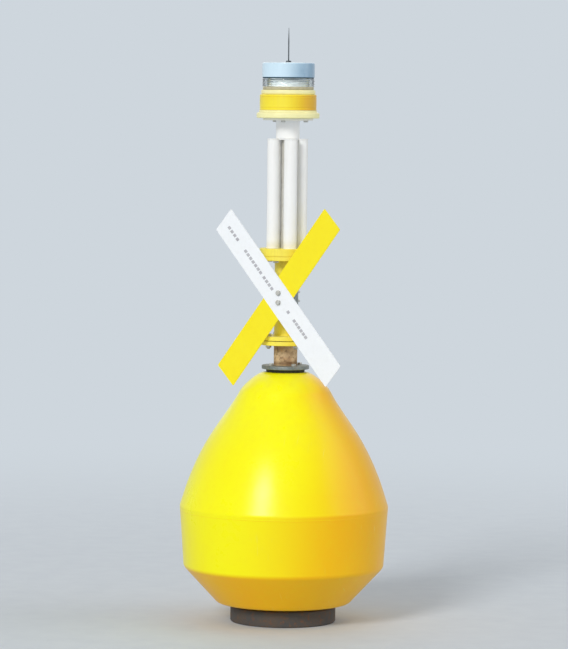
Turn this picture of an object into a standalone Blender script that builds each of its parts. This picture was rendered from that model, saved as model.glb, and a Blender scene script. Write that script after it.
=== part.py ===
# Small marker buoy. A foam-filled conical float stands on a pipe with a ballast ring under it.
# A flanged mast carries crossed marker boards, a cluster of tubular radar reflectors round a
# pole, and a solar lantern. Metres, +Z up, with the origin under the middle of the ballast ring.
# The boards face -Y.

import math

import bmesh
import bpy
from mathutils import Matrix, Vector
from mathutils.geometry import interpolate_bezier

GAP = 0.0003  # left between pieces that touch
WELD = 0.000001  # distance under which two points are one
CUT_PAST = 0.010  # how far a cutter runs on outside what it cuts
BLIND_SPARE = 0.002  # room left past the end of a bolt in a blind hole
SMOOTH_BELOW = 32.0  # degrees between faces that are shaded as one surface

# bolts, as shares of their own diameter
HEAD_HALF_WIDTH = 0.79
HEAD_HEIGHT = 0.65
NUT_HEIGHT = 0.80
THREAD_PAST_NUT = 0.35
WASHER_THICKNESS = 0.18
BOLT_COUNT = 4
FIRST_BOLT = 45.0  # degrees from -Y towards +X

# ballast ring, keel plate and mooring eye
BALLAST_DIAMETER = 0.400
BALLAST_HOLE_DIAMETER = 0.220
BALLAST_HEIGHT = 0.060
BALLAST_EDGE = 0.006
KEEL_PLATE_DIAMETER = 0.350
KEEL_PLATE_THICKNESS = 0.010
BALLAST_BOLT_CIRCLE = 0.300
BALLAST_BOLT_DIAMETER = 0.016
BALLAST_POCKET_CLEARANCE = 0.005  # round and under a bolt head
EYE_WIDTH = 0.130
EYE_THICKNESS = 0.016
EYE_HOLE_DIAMETER = 0.028
EYE_RIM = 0.012  # metal round the hole
EYE_FLOOR_CLEARANCE = 0.006
EYE_ARC_STEPS = 8

# float
FLOAT_DIAMETER = 0.792  # at the crease
FLOAT_BOTTOM_DIAMETER = 0.500
FLOAT_CHINE_HEIGHT = 0.140  # top of the chamfer under the side band
FLOAT_CHINE_RADIUS = 0.030
FLOAT_DRAUGHT = 0.240  # float bottom to waterline
CREASE_RISE = 0.131  # waterline to crease
CREASE_RADIUS = 0.035
BAND_TAPER = 0.016  # how far the side band draws in towards the chine
FLOAT_RISE = 0.640  # waterline to top face
SHOULDER_RADIUS = 0.172  # where the cone turns into its rounded top
SHOULDER_DROP = 0.074
FLOAT_TOP_DIAMETER = 0.156
CONE_LOW_PULL = (-0.34, 0.60)  # shares of the cone's run and rise, from the crease
CONE_HIGH_PULL = (0.28, -0.27)  # from the shoulder
CONE_STEPS = 8
CROWN_LOW_PULL = (-0.16, 0.38)  # shares of the crown's run and rise, from the shoulder
CROWN_HIGH_PULL = 0.25  # from the top face, level
CROWN_STEPS = 4
FLOAT_BORE_CLEARANCE = 0.0015

# pipe through the float, its pad and top plate
PIPE_DIAMETER = 0.0889
PIPE_WALL = 0.0032
PAD_DIAMETER = 0.146
PAD_THICKNESS = 0.011
TOP_PLATE_DIAMETER = 0.180
TOP_PLATE_THICKNESS = 0.014
TOP_PLATE_EDGE = 0.002
TOP_PLATE_BOLT_CIRCLE = 0.124
TOP_PLATE_BOLT_DIAMETER = 0.010
TOP_PLATE_BOLT_GRIP = 0.030  # length in the float
STUB_RISE = 0.078  # bare pipe between the top plate and the flange

# flanged mast
FLANGE_DIAMETER = 0.200
FLANGE_THICKNESS = 0.016
FLANGE_EDGE = 0.0015
FLANGE_WELD = 0.005  # fillet between pipe and flange
FLANGE_BOLT_CIRCLE = 0.150
FLANGE_BOLT_DIAMETER = 0.012
GASKET_THICKNESS = 0.0015
GASKET_SETBACK = 0.004  # from the flange's rim
MAST_HEIGHT = 0.318  # over both of its flanges
COLLAR_DIAMETER = 0.204
COLLAR_THICKNESS = 0.029
COLLAR_EDGE = 0.002
COLLAR_THREAD_DEPTH = 0.0174
SOCKET_DEPTH = 0.008

# reflectors and pole
POLE_DIAMETER = 0.0483
POLE_WALL = 0.0029
TUBE_DIAMETER = 0.050
TUBE_WALL = 0.002
TUBE_LENGTH = 0.417
TUBE_STAND_OFF = 0.00385  # tube to pole
TUBE_COUNT = 4
TUBE_ANGLE = 28.0  # first tube, degrees from -Y towards +X
CORE_SHEET = 0.001
CORE_CLEARANCE = 0.0012
SPIDER_THICKNESS = 0.004
SPIDER_PLUG = 0.012
SPIDER_LIP = 0.0004

# lantern adaptor
ADAPTOR_DIAMETER = 0.089
ADAPTOR_HEIGHT = 0.077
ADAPTOR_PLATE_DIAMETER = 0.190
ADAPTOR_PLATE_THICKNESS = 0.008
ADAPTOR_PLATE_EDGE = 0.001
ADAPTOR_FOOT_EDGE = 0.002
ADAPTOR_WELD = 0.004
LANTERN_BOLT_COUNT = 3
LANTERN_BOLT_CIRCLE = 0.140
LANTERN_BOLT_DIAMETER = 0.010
LANTERN_BOLT_GRIP = 0.012

# lantern
BASE_DIAMETER = 0.238
BASE_LIP_HEIGHT = 0.019
BASE_LIP_EDGE = 0.006
BASE_FOOT_EDGE = 0.004
BASE_LIP_SLOPE = 0.004
BASE_NECK_STEP = 0.002  # from the drum out to the neck
BASE_NECK_EDGE = 0.001
BASE_HEIGHT = 0.030
BASE_FLOOR = 0.016
BASE_WALL = 0.010
CABLE_HOLE_DIAMETER = 0.016
DRUM_DIAMETER = 0.214
DRUM_HEIGHT = 0.059
DRUM_WALL = 0.004
DRUM_TOP_EDGE = 0.004
DRUM_FOOT_EDGE = 0.001
DRUM_LEDGE = 0.014
DECK_DIAMETER = 0.205
DECK_THICKNESS = 0.017
DECK_EDGE = 0.003
SEAL_DIAMETER = 0.192
SEAL_HEIGHT = 0.012
SEAL_WIDTH = 0.008
LENS_DIAMETER = 0.198
LENS_HEIGHT = 0.030
LENS_WALL = 0.006
LENS_RIB_COUNT = 5
LENS_RIB_DEPTH = 0.002
CAP_SEAL_HEIGHT = 0.004
CAP_DIAMETER = 0.199
CAP_HEIGHT = 0.055
CAP_WALL = 0.004
CAP_EDGE = 0.009
CAP_FOOT_EDGE = 0.001
PANEL_DIAMETER = 0.178
PANEL_THICKNESS = 0.005
PANEL_SEAT_DEPTH = 0.004
LED_DRUM_DIAMETER = 0.150
LED_DRUM_EDGE = 0.002
BATTERY_SIZE = (0.120, 0.090, 0.052)
BATTERY_EDGE = 0.004
BOARD_PLATE_DIAMETER = 0.170
BOARD_PLATE_THICKNESS = 0.0016
BOARD_PARTS_SIZE = (0.040, 0.044, 0.010)
BOARD_PARTS_PLACE = (-0.010, 0.002)
SPIKE_HEIGHT = 0.130
SPIKE_DIAMETER = 0.0045
SPIKE_TIP_DIAMETER = 0.0014
SPIKE_STRAIGHT = 0.080  # height from its foot where the point starts
SPIKE_BOSS_DIAMETER = 0.020
SPIKE_BOSS_HEIGHT = 0.006
SPIKE_BOSS_EDGE = 0.002
SPIKE_SHANK_DIAMETER = 0.006
SPIKE_SHANK_LENGTH = 0.016

# marker boards and their bracket
BOARD_LENGTH = 0.725
BOARD_WIDTH = 0.094
BOARD_END_SLANT = 17.5  # degrees off square
BOARD_THICKNESS = 0.006
BOARD_EDGE = 0.001
WHITE_BOARD_SLOPE = 53.4  # degrees from level
YELLOW_BOARD_SLOPE = 55.6
BOARD_RISE = 0.927  # waterline to where they cross
BRACKET_DEPTH = 0.060
BRACKET_WIDTH = 0.122
BRACKET_HEIGHT = 0.064
BRACKET_WALL = 0.005
BOARD_BOLT_DIAMETER = 0.010
BOARD_BOLT_SPACING = 0.036
U_BOLT_DIAMETER = 0.008
U_BOLT_SPACING = 0.034
U_BOLT_END = 0.010  # thread past the nut
U_BOLT_FIT = 0.0008  # bolt to mast
U_BOLT_ARC_STEPS = 12

# how round the turned pieces are
FLOAT_SEGMENTS = 40
WIDE_SEGMENTS = 32
PIPE_SEGMENTS = 24
TUBE_SEGMENTS = 16
ROD_SIDES = 12
HOLE_SIDES = 8

# levels, from the ground up
KEEL_Z = BALLAST_HEIGHT + GAP
FLOAT_Z = KEEL_Z + KEEL_PLATE_THICKNESS + GAP
WATERLINE_Z = FLOAT_Z + FLOAT_DRAUGHT
FLOAT_TOP_Z = WATERLINE_Z + FLOAT_RISE
PAD_Z = FLOAT_TOP_Z + GAP
TOP_PLATE_Z = PAD_Z + PAD_THICKNESS + GAP
STUB_Z = TOP_PLATE_Z + TOP_PLATE_THICKNESS
STAND_FLANGE_Z = STUB_Z + STUB_RISE
GASKET_Z = STAND_FLANGE_Z + FLANGE_THICKNESS + GAP
MAST_Z = GASKET_Z + GASKET_THICKNESS + GAP
COLLAR_Z = MAST_Z + MAST_HEIGHT + GAP
SOCKET_Z = COLLAR_Z + COLLAR_THICKNESS - SOCKET_DEPTH
TUBE_Z = SOCKET_Z + GAP
SPIDER_Z = TUBE_Z + TUBE_LENGTH + GAP
ADAPTOR_Z = SPIDER_Z + SPIDER_THICKNESS + GAP
ADAPTOR_TOP_Z = ADAPTOR_Z + ADAPTOR_HEIGHT
BASE_Z = ADAPTOR_TOP_Z + GAP
BASE_FLOOR_Z = BASE_Z + BASE_FLOOR
DRUM_Z = BASE_Z + BASE_HEIGHT + GAP
DECK_Z = DRUM_Z + DRUM_HEIGHT + GAP
SEAL_Z = DECK_Z + DECK_THICKNESS + GAP
LENS_Z = SEAL_Z + SEAL_HEIGHT + GAP
CAP_SEAL_Z = LENS_Z + LENS_HEIGHT + GAP
CAP_Z = CAP_SEAL_Z + CAP_SEAL_HEIGHT + GAP
CAP_TOP_Z = CAP_Z + CAP_HEIGHT
PANEL_Z = CAP_TOP_Z - PANEL_SEAT_DEPTH + GAP
PANEL_TOP_Z = PANEL_Z + PANEL_THICKNESS
BOARD_Z = WATERLINE_Z + BOARD_RISE

# radii that several pieces share
PIPE_R = PIPE_DIAMETER / 2
POLE_R = POLE_DIAMETER / 2
TUBE_R = TUBE_DIAMETER / 2
TUBE_CIRCLE_R = POLE_R + TUBE_STAND_OFF + TUBE_R
BRACKET_BACK_Y = -(PIPE_R + GAP)
BRACKET_FRONT_Y = BRACKET_BACK_Y - BRACKET_DEPTH
YELLOW_BOARD_Y = BRACKET_FRONT_Y - GAP - BOARD_THICKNESS / 2
WHITE_BOARD_Y = YELLOW_BOARD_Y - BOARD_THICKNESS - GAP


def clear_scene():
    for obj in list(bpy.data.objects):
        bpy.data.objects.remove(obj, do_unlink=True)


def make_material(name, colour, roughness, metallic=0.0, clear=0.0):
    material = bpy.data.materials.new(name)
    material.use_nodes = True
    shader = material.node_tree.nodes["Principled BSDF"]
    shader.inputs["Base Color"].default_value = (*colour, 1.0)
    shader.inputs["Roughness"].default_value = roughness
    shader.inputs["Metallic"].default_value = metallic
    shader.inputs["Transmission Weight"].default_value = clear
    material.diffuse_color = (*colour, 1.0)
    return material


def finish_mesh(bm, name):
    """Weld, point the faces outwards and shade the round parts smooth."""
    bmesh.ops.remove_doubles(bm, verts=bm.verts, dist=WELD)
    bmesh.ops.recalc_face_normals(bm, faces=bm.faces)
    mesh = bpy.data.meshes.new(name)
    bm.to_mesh(mesh)
    bm.free()
    mesh.shade_smooth()
    mesh.set_sharp_from_angle(angle=math.radians(SMOOTH_BELOW))
    return mesh


def add_piece(name, mesh, material, location=(0, 0, 0), rotation=(0, 0, 0)):
    mesh.materials.clear()
    mesh.materials.append(material)
    piece = bpy.data.objects.new(name, mesh)
    piece.location = location
    piece.rotation_euler = rotation
    bpy.context.scene.collection.objects.link(piece)
    return piece


def add_cutter(target, mesh, operation="DIFFERENCE"):
    """Cut the mesh out of the target, or join it on, with a hidden helper object."""
    helper = bpy.data.objects.new(target.name + "_" + operation.lower(), mesh)
    helper.hide_render = True
    helper.display_type = "WIRE"
    bpy.context.scene.collection.objects.link(helper)
    modifier = target.modifiers.new(operation.lower(), "BOOLEAN")
    modifier.operation = operation
    modifier.solver = "EXACT"
    modifier.object = helper


def turned(name, outline, segments):
    """Spin a (radius, height) outline round Z. An outline that starts and ends on the axis is solid."""
    bm = bmesh.new()
    points = [bm.verts.new((radius, 0, height)) for radius, height in outline]
    edges = [bm.edges.new(pair) for pair in zip(points, points[1:])]
    if outline[0][0] > 0 or outline[-1][0] > 0:
        edges.append(bm.edges.new((points[-1], points[0])))
    bmesh.ops.spin(
        bm, geom=points + edges, cent=(0, 0, 0), axis=(0, 0, 1), angle=math.tau, steps=segments
    )
    return finish_mesh(bm, name)


def rounded(corners, steps=1):
    """Turn (radius, height, fillet) corners into an outline with its corners rounded."""
    outline = []
    for index, (radius, height, fillet) in enumerate(corners):
        here = Vector((radius, height))
        if fillet == 0:
            outline.append((radius, height))
            continue
        before = Vector(corners[index - 1][:2]) - here
        after = Vector(corners[(index + 1) % len(corners)][:2]) - here
        half_angle = before.angle(after) / 2
        reach = min(fillet / math.tan(half_angle), before.length * 0.45, after.length * 0.45)
        arc_radius = reach * math.tan(half_angle)
        middle = here + (before.normalized() + after.normalized()).normalized() * (
            arc_radius / math.sin(half_angle)
        )
        start = here + before.normalized() * reach - middle
        end = here + after.normalized() * reach - middle
        sweep = start.angle_signed(end)
        for step in range(steps + 1):
            point = middle + Matrix.Rotation(-sweep * step / steps, 2) @ start
            outline.append((point.x, point.y))
    return outline


def ring_points(centre, across, up, radius, flats=False, sides=ROD_SIDES):
    """Points of one ring. With flats, the radius is half a hexagon's width across its flats."""
    points = []
    for index in range(sides):
        angle = math.tau * index / sides
        reach = radius
        if flats:
            from_flat = (angle + math.pi / 6) % (math.pi / 3) - math.pi / 6
            reach = radius / math.cos(from_flat)
        points.append(centre + (across * math.cos(angle) + up * math.sin(angle)) * reach)
    return points


def add_rings(bm, rings):
    """Join rings of points into one closed rod."""
    loops = [[bm.verts.new(point) for point in ring] for ring in rings]
    for lower, upper in zip(loops, loops[1:]):
        for index in range(len(lower)):
            before = index - 1
            bm.faces.new((lower[before], lower[index], upper[index], upper[before]))
    bm.faces.new(loops[0])
    bm.faces.new(loops[-1])


def add_rod(bm, start, axis, stations, sides=ROD_SIDES):
    """Add a straight stepped rod. A station is (distance, radius) or (distance, radius, flats)."""
    axis = Vector(axis)
    across = axis.orthogonal().normalized()
    up = axis.cross(across)
    rings = []
    for station in stations:
        centre = Vector(start) + axis * station[0]
        rings.append(ring_points(centre, across, up, station[1], len(station) == 3, sides))
    add_rings(bm, rings)


def drill(target, holes):
    """Cut stepped round holes, each given as (start, axis, stations) with its radii inside its flats."""
    widen = 1 / math.cos(math.pi / HOLE_SIDES)
    bm = bmesh.new()
    for start, axis, stations in holes:
        stations = [(distance, radius * widen) for distance, radius in stations]
        add_rod(bm, start, axis, stations, HOLE_SIDES)
    add_cutter(target, finish_mesh(bm, target.name + "_holes"))


def circle_spots(circle, count, first_degrees, height=0.0):
    """Places on a bolt circle, counted from -Y towards +X."""
    spots = []
    for index in range(count):
        angle = math.radians(first_degrees) + math.tau * index / count
        spots.append(Vector((math.sin(angle) * circle / 2, -math.cos(angle) * circle / 2, height)))
    return spots


def bolt_stations(diameter, grip, nut, washer):
    """A hexagon bolt from its head down, with a washer, and a nut run on past the grip."""
    shank = diameter / 2
    flats = diameter * HEAD_HALF_WIDTH
    under_head = -diameter * WASHER_THICKNESS if washer else -GAP
    head_top = under_head - diameter * HEAD_HEIGHT
    stations = [(head_top, flats, "flats"), (under_head, flats, "flats")]
    if washer:
        stations += [(under_head, diameter), (-GAP, diameter)]
    stations.append((-GAP, shank))
    if nut:
        nut_start = grip + GAP
        nut_end = nut_start + diameter * NUT_HEIGHT
        stations += [
            (nut_start, shank),
            (nut_start, flats, "flats"),
            (nut_end, flats, "flats"),
            (nut_end, shank),
            (nut_end + diameter * THREAD_PAST_NUT, shank),
        ]
    else:
        stations.append((grip, shank))
    return stations


def bolt_set(name, spots, axis, diameter, grip, material, nut=False, washer=False):
    """One bolt at each spot, heads at the spots and shanks along the axis."""
    bm = bmesh.new()
    add_rod(bm, (0, 0, 0), axis, bolt_stations(diameter, grip, nut, washer))
    mesh = finish_mesh(bm, name)
    for index, spot in enumerate(spots):
        add_piece(f"{name}_{index + 1}", mesh, material, location=spot)


def hole_set(spots, axis, diameter, depth, start=-CUT_PAST):
    """Plain holes with the bolt's clearance, from a little outside the face to the given depth."""
    radius = diameter / 2 + GAP
    return [(spot, axis, [(start, radius), (depth, radius)]) for spot in spots]


def box_mesh(name, low, high):
    bm = bmesh.new()
    middle = (Vector(low) + Vector(high)) / 2
    size = Vector(high) - Vector(low)
    place = Matrix.Translation(middle) @ Matrix.Diagonal((*size, 1))
    bmesh.ops.create_cube(bm, size=1.0, matrix=place)
    return finish_mesh(bm, name)


def prism(name, outline, depth):
    """Extrude an outline of points by a vector."""
    bm = bmesh.new()
    face = bm.faces.new([bm.verts.new(point) for point in outline])
    extruded = bmesh.ops.extrude_face_region(bm, geom=[face], use_keep_orig=True)
    moved = [item for item in extruded["geom"] if isinstance(item, bmesh.types.BMVert)]
    bmesh.ops.translate(bm, verts=moved, vec=depth)
    return finish_mesh(bm, name)


def make_ballast(cast_iron, zinc):
    inner = BALLAST_HOLE_DIAMETER / 2
    outer = BALLAST_DIAMETER / 2
    outline = rounded([
        (inner, 0, BALLAST_EDGE),
        (outer, 0, BALLAST_EDGE),
        (outer, BALLAST_HEIGHT, BALLAST_EDGE),
        (inner, BALLAST_HEIGHT, BALLAST_EDGE),
    ])
    ring = add_piece("ballast_ring", turned("ballast_ring", outline, WIDE_SEGMENTS), cast_iron)
    head_depth = BALLAST_BOLT_DIAMETER * HEAD_HEIGHT + BALLAST_POCKET_CLEARANCE
    head_corner = BALLAST_BOLT_DIAMETER * HEAD_HALF_WIDTH / math.cos(math.pi / 6)
    pocket = head_corner + BALLAST_POCKET_CLEARANCE
    shank = BALLAST_BOLT_DIAMETER / 2 + GAP
    under = circle_spots(BALLAST_BOLT_CIRCLE, BOLT_COUNT, FIRST_BOLT)
    stations = [
        (-CUT_PAST, pocket),
        (head_depth, pocket),
        (head_depth, shank),
        (BALLAST_HEIGHT + CUT_PAST, shank),
    ]
    drill(ring, [(spot, (0, 0, 1), stations) for spot in under])
    grip = BALLAST_HEIGHT + GAP + KEEL_PLATE_THICKNESS - head_depth
    seats = circle_spots(BALLAST_BOLT_CIRCLE, BOLT_COUNT, FIRST_BOLT, head_depth)
    bolt_set("ballast_bolt", seats, (0, 0, 1), BALLAST_BOLT_DIAMETER, grip, zinc)


def make_mooring_eye(steel):
    hole_radius = EYE_HOLE_DIAMETER / 2
    lobe = hole_radius + EYE_RIM
    centre_z = EYE_FLOOR_CLEARANCE + lobe
    top_z = KEEL_Z - GAP
    outline = [Vector((-EYE_WIDTH / 2, -EYE_THICKNESS / 2, top_z))]
    for step in range(EYE_ARC_STEPS + 1):
        angle = math.pi * (1 + step / EYE_ARC_STEPS)
        outline.append(
            Vector((lobe * math.cos(angle), -EYE_THICKNESS / 2, centre_z + lobe * math.sin(angle)))
        )
    outline.append(Vector((EYE_WIDTH / 2, -EYE_THICKNESS / 2, top_z)))
    eye = add_piece("mooring_eye", prism("mooring_eye", outline, (0, EYE_THICKNESS, 0)), steel)
    start = (0, -EYE_THICKNESS, centre_z)
    drill(eye, [(start, (0, 1, 0), [(0, hole_radius), (2 * EYE_THICKNESS, hole_radius)])])


def float_outline():
    """Side view of the float, from its bore out along the bottom, up the side and over the top."""
    bore = PIPE_R + FLOAT_BORE_CLEARANCE
    crease_z = WATERLINE_Z + CREASE_RISE
    crease = Vector((FLOAT_DIAMETER / 2, crease_z))
    shoulder = Vector((SHOULDER_RADIUS, FLOAT_TOP_Z - SHOULDER_DROP))
    top = Vector((FLOAT_TOP_DIAMETER / 2, FLOAT_TOP_Z))
    rise = shoulder.y - crease.y
    run = crease.x - shoulder.x
    cone = interpolate_bezier(
        crease,
        crease + Vector((CONE_LOW_PULL[0] * run, CONE_LOW_PULL[1] * rise)),
        shoulder + Vector((CONE_HIGH_PULL[0] * run, CONE_HIGH_PULL[1] * rise)),
        shoulder,
        CONE_STEPS + 1,
    )
    crown_run = shoulder.x - top.x
    crown = interpolate_bezier(
        shoulder,
        shoulder + Vector((CROWN_LOW_PULL[0] * crown_run, CROWN_LOW_PULL[1] * SHOULDER_DROP)),
        top + Vector((CROWN_HIGH_PULL * crown_run, 0)),
        top,
        CROWN_STEPS + 1,
    )
    lower = rounded([
        (bore, FLOAT_Z, 0),
        (FLOAT_BOTTOM_DIAMETER / 2, FLOAT_Z, FLOAT_CHINE_RADIUS),
        (FLOAT_DIAMETER / 2 - BAND_TAPER, FLOAT_Z + FLOAT_CHINE_HEIGHT, FLOAT_CHINE_RADIUS),
        (crease.x, crease.y, CREASE_RADIUS),
        (cone[1].x, cone[1].y, 0),
    ], steps=2)
    upper = [tuple(point) for point in cone[2:] + crown[1:]]
    return lower + upper + [(bore, FLOAT_TOP_Z)]


def make_float(plastic):
    float_hull = add_piece("float_hull", turned("float_hull", float_outline(), FLOAT_SEGMENTS), plastic)
    spots = circle_spots(TOP_PLATE_BOLT_CIRCLE, BOLT_COUNT, FIRST_BOLT, FLOAT_TOP_Z)
    depth = TOP_PLATE_BOLT_GRIP + BLIND_SPARE
    drill(float_hull, hole_set(spots, (0, 0, -1), TOP_PLATE_BOLT_DIAMETER, depth))


def ring_outline(inner, outer, low, high, edge=0.0):
    """Section of a plain ring, its outer edges rounded."""
    return rounded([(inner, low, 0), (outer, low, edge), (outer, high, edge), (inner, high, 0)])


def make_stand(steel, rubber, galvanised, painted, zinc):
    inner = PIPE_R - PIPE_WALL
    stand_outline = [
        (inner, KEEL_Z),
        (KEEL_PLATE_DIAMETER / 2, KEEL_Z),
        (KEEL_PLATE_DIAMETER / 2, KEEL_Z + KEEL_PLATE_THICKNESS),
        (PIPE_R, KEEL_Z + KEEL_PLATE_THICKNESS),
        (PIPE_R, STAND_FLANGE_Z + FLANGE_THICKNESS),
        (inner, STAND_FLANGE_Z + FLANGE_THICKNESS),
    ]
    stand = add_piece("stand_pipe", turned("stand_pipe", stand_outline, PIPE_SEGMENTS), steel)
    keel_spots = circle_spots(BALLAST_BOLT_CIRCLE, BOLT_COUNT, FIRST_BOLT, KEEL_Z)
    keel_depth = KEEL_PLATE_THICKNESS + CUT_PAST
    drill(stand, hole_set(keel_spots, (0, 0, 1), BALLAST_BOLT_DIAMETER, keel_depth))

    bore = PIPE_R + GAP
    pad_outline = ring_outline(bore, PAD_DIAMETER / 2, PAD_Z, PAD_Z + PAD_THICKNESS)
    pad = add_piece("float_pad", turned("float_pad", pad_outline, PIPE_SEGMENTS), rubber)
    plate_outline = ring_outline(bore, TOP_PLATE_DIAMETER / 2, TOP_PLATE_Z, STUB_Z, TOP_PLATE_EDGE)
    plate = add_piece("float_top_plate", turned("float_top_plate", plate_outline, PIPE_SEGMENTS), galvanised)
    spots = circle_spots(TOP_PLATE_BOLT_CIRCLE, BOLT_COUNT, FIRST_BOLT, STUB_Z)
    through = STUB_Z - FLOAT_TOP_Z
    for piece in (pad, plate):
        drill(piece, hole_set(spots, (0, 0, -1), TOP_PLATE_BOLT_DIAMETER, through))
    grip = through + TOP_PLATE_BOLT_GRIP
    bolt_set("float_bolt", spots, (0, 0, -1), TOP_PLATE_BOLT_DIAMETER, grip, zinc, washer=True)

    flange_top = STAND_FLANGE_Z + FLANGE_THICKNESS
    flange_outline = ring_outline(bore, FLANGE_DIAMETER / 2, STAND_FLANGE_Z, flange_top, FLANGE_EDGE)
    flange = add_piece("stand_flange", turned("stand_flange", flange_outline, WIDE_SEGMENTS), painted)
    gasket_r = FLANGE_DIAMETER / 2 - GASKET_SETBACK
    gasket_outline = ring_outline(inner, gasket_r, GASKET_Z, GASKET_Z + GASKET_THICKNESS)
    gasket = add_piece("flange_gasket", turned("flange_gasket", gasket_outline, PIPE_SEGMENTS), rubber)
    joint_top = MAST_Z + FLANGE_THICKNESS
    joint = circle_spots(FLANGE_BOLT_CIRCLE, BOLT_COUNT, FIRST_BOLT, joint_top)
    down = (0, 0, -1)
    joint_grip = joint_top - STAND_FLANGE_Z
    for piece in (flange, gasket):
        drill(piece, hole_set(joint, down, FLANGE_BOLT_DIAMETER, joint_grip + CUT_PAST))
    bolt_set("flange_bolt", joint, down, FLANGE_BOLT_DIAMETER, joint_grip, zinc, nut=True, washer=True)


def make_mast(painted, zinc):
    inner = PIPE_R - PIPE_WALL
    top_z = MAST_Z + MAST_HEIGHT
    outline = rounded([
        (inner, MAST_Z, 0),
        (FLANGE_DIAMETER / 2, MAST_Z, FLANGE_EDGE),
        (FLANGE_DIAMETER / 2, MAST_Z + FLANGE_THICKNESS, FLANGE_EDGE),
        (PIPE_R, MAST_Z + FLANGE_THICKNESS, FLANGE_WELD),
        (PIPE_R, top_z - FLANGE_THICKNESS, FLANGE_WELD),
        (COLLAR_DIAMETER / 2, top_z - FLANGE_THICKNESS, FLANGE_EDGE),
        (COLLAR_DIAMETER / 2, top_z, FLANGE_EDGE),
        (inner, top_z, 0),
    ])
    mast = add_piece("mast_sleeve", turned("mast_sleeve", outline, WIDE_SEGMENTS), painted)
    lower = circle_spots(FLANGE_BOLT_CIRCLE, BOLT_COUNT, FIRST_BOLT, MAST_Z)
    first_bolt = TUBE_ANGLE + 180 / TUBE_COUNT
    collar_bolts = circle_spots(FLANGE_BOLT_CIRCLE, TUBE_COUNT, first_bolt, top_z - FLANGE_THICKNESS)
    through = FLANGE_THICKNESS + CUT_PAST
    holes = hole_set(lower, (0, 0, 1), FLANGE_BOLT_DIAMETER, through)
    holes += hole_set(collar_bolts, (0, 0, 1), FLANGE_BOLT_DIAMETER, through)
    drill(mast, holes)

    bore = POLE_R + GAP
    collar_top = COLLAR_Z + COLLAR_THICKNESS
    collar_outline = ring_outline(bore, COLLAR_DIAMETER / 2, COLLAR_Z, collar_top, COLLAR_EDGE)
    collar = add_piece("reflector_base", turned("reflector_base", collar_outline, WIDE_SEGMENTS), painted)
    socket_r = TUBE_R + GAP
    socket_top = collar_top + CUT_PAST
    socket = [(0, SOCKET_Z), (socket_r, SOCKET_Z), (socket_r, socket_top), (0, socket_top)]
    add_cutter(collar, turned_copies("reflector_base_sockets", socket, tube_spots()))
    blind = circle_spots(FLANGE_BOLT_CIRCLE, TUBE_COUNT, first_bolt, COLLAR_Z)
    drill(collar, hole_set(blind, (0, 0, 1), FLANGE_BOLT_DIAMETER, COLLAR_THREAD_DEPTH))
    grip = FLANGE_THICKNESS + GAP + COLLAR_THREAD_DEPTH - BLIND_SPARE
    bolt_set("collar_bolt", collar_bolts, (0, 0, 1), FLANGE_BOLT_DIAMETER, grip, zinc)


def tube_spots():
    return circle_spots(2 * TUBE_CIRCLE_R, TUBE_COUNT, TUBE_ANGLE)


def turned_copies(name, outline, spots):
    """Several turned solids in one mesh, one at each spot."""
    source = turned(name + "_one", outline, TUBE_SEGMENTS)
    bm = bmesh.new()
    for spot in spots:
        first = len(bm.verts)
        bm.from_mesh(source)
        bm.verts.ensure_lookup_table()
        bmesh.ops.translate(bm, verts=bm.verts[first:], vec=spot)
    return finish_mesh(bm, name)


def make_reflectors(white_plastic, foil, galvanised, white_paint):
    pole_top = ADAPTOR_TOP_Z - ADAPTOR_PLATE_THICKNESS
    pole_outline = ring_outline(POLE_R - POLE_WALL, POLE_R, COLLAR_Z, pole_top)
    add_piece("mast_pole", turned("mast_pole", pole_outline, TUBE_SEGMENTS), galvanised)

    tube_top = TUBE_Z + TUBE_LENGTH
    tube_outline = ring_outline(TUBE_R - TUBE_WALL, TUBE_R, TUBE_Z, tube_top)
    tube_mesh = turned("reflector_tube", tube_outline, TUBE_SEGMENTS)
    reach = TUBE_R - TUBE_WALL - CORE_CLEARANCE
    half = CORE_SHEET / 2
    arm = [Vector((half, half, TUBE_Z)), Vector((half, reach, TUBE_Z)), Vector((-half, reach, TUBE_Z))]
    cross = []
    for turn in range(4):
        quarter_turn = Matrix.Rotation(math.tau * turn / 4, 3, "Z")
        cross += [quarter_turn @ point for point in arm]
    core_height = TUBE_LENGTH - SPIDER_PLUG - 2 * CORE_CLEARANCE
    core_mesh = prism("tube_core", cross, (0, 0, core_height))
    for index, spot in enumerate(tube_spots()):
        add_piece(f"reflector_tube_{index + 1}", tube_mesh, white_plastic, location=spot)
        add_piece(f"tube_core_{index + 1}", core_mesh, foil, location=spot)

    spider_top = SPIDER_Z + SPIDER_THICKNESS
    lobe = TUBE_R + SPIDER_LIP
    plug = TUBE_R - TUBE_WALL - GAP
    hub_outline = ring_outline(POLE_R + GAP, ADAPTOR_DIAMETER / 2, SPIDER_Z, spider_top)
    spider = add_piece("tube_top_spider", turned("tube_top_spider", hub_outline, TUBE_SEGMENTS), white_paint)
    lobes = turned_copies(
        "spider_lobes",
        [
            (0, SPIDER_Z - SPIDER_PLUG),
            (plug, SPIDER_Z - SPIDER_PLUG),
            (plug, SPIDER_Z),
            (lobe, SPIDER_Z),
            (lobe, spider_top),
            (0, spider_top),
        ],
        tube_spots(),
    )
    add_cutter(spider, lobes, "UNION")


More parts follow.
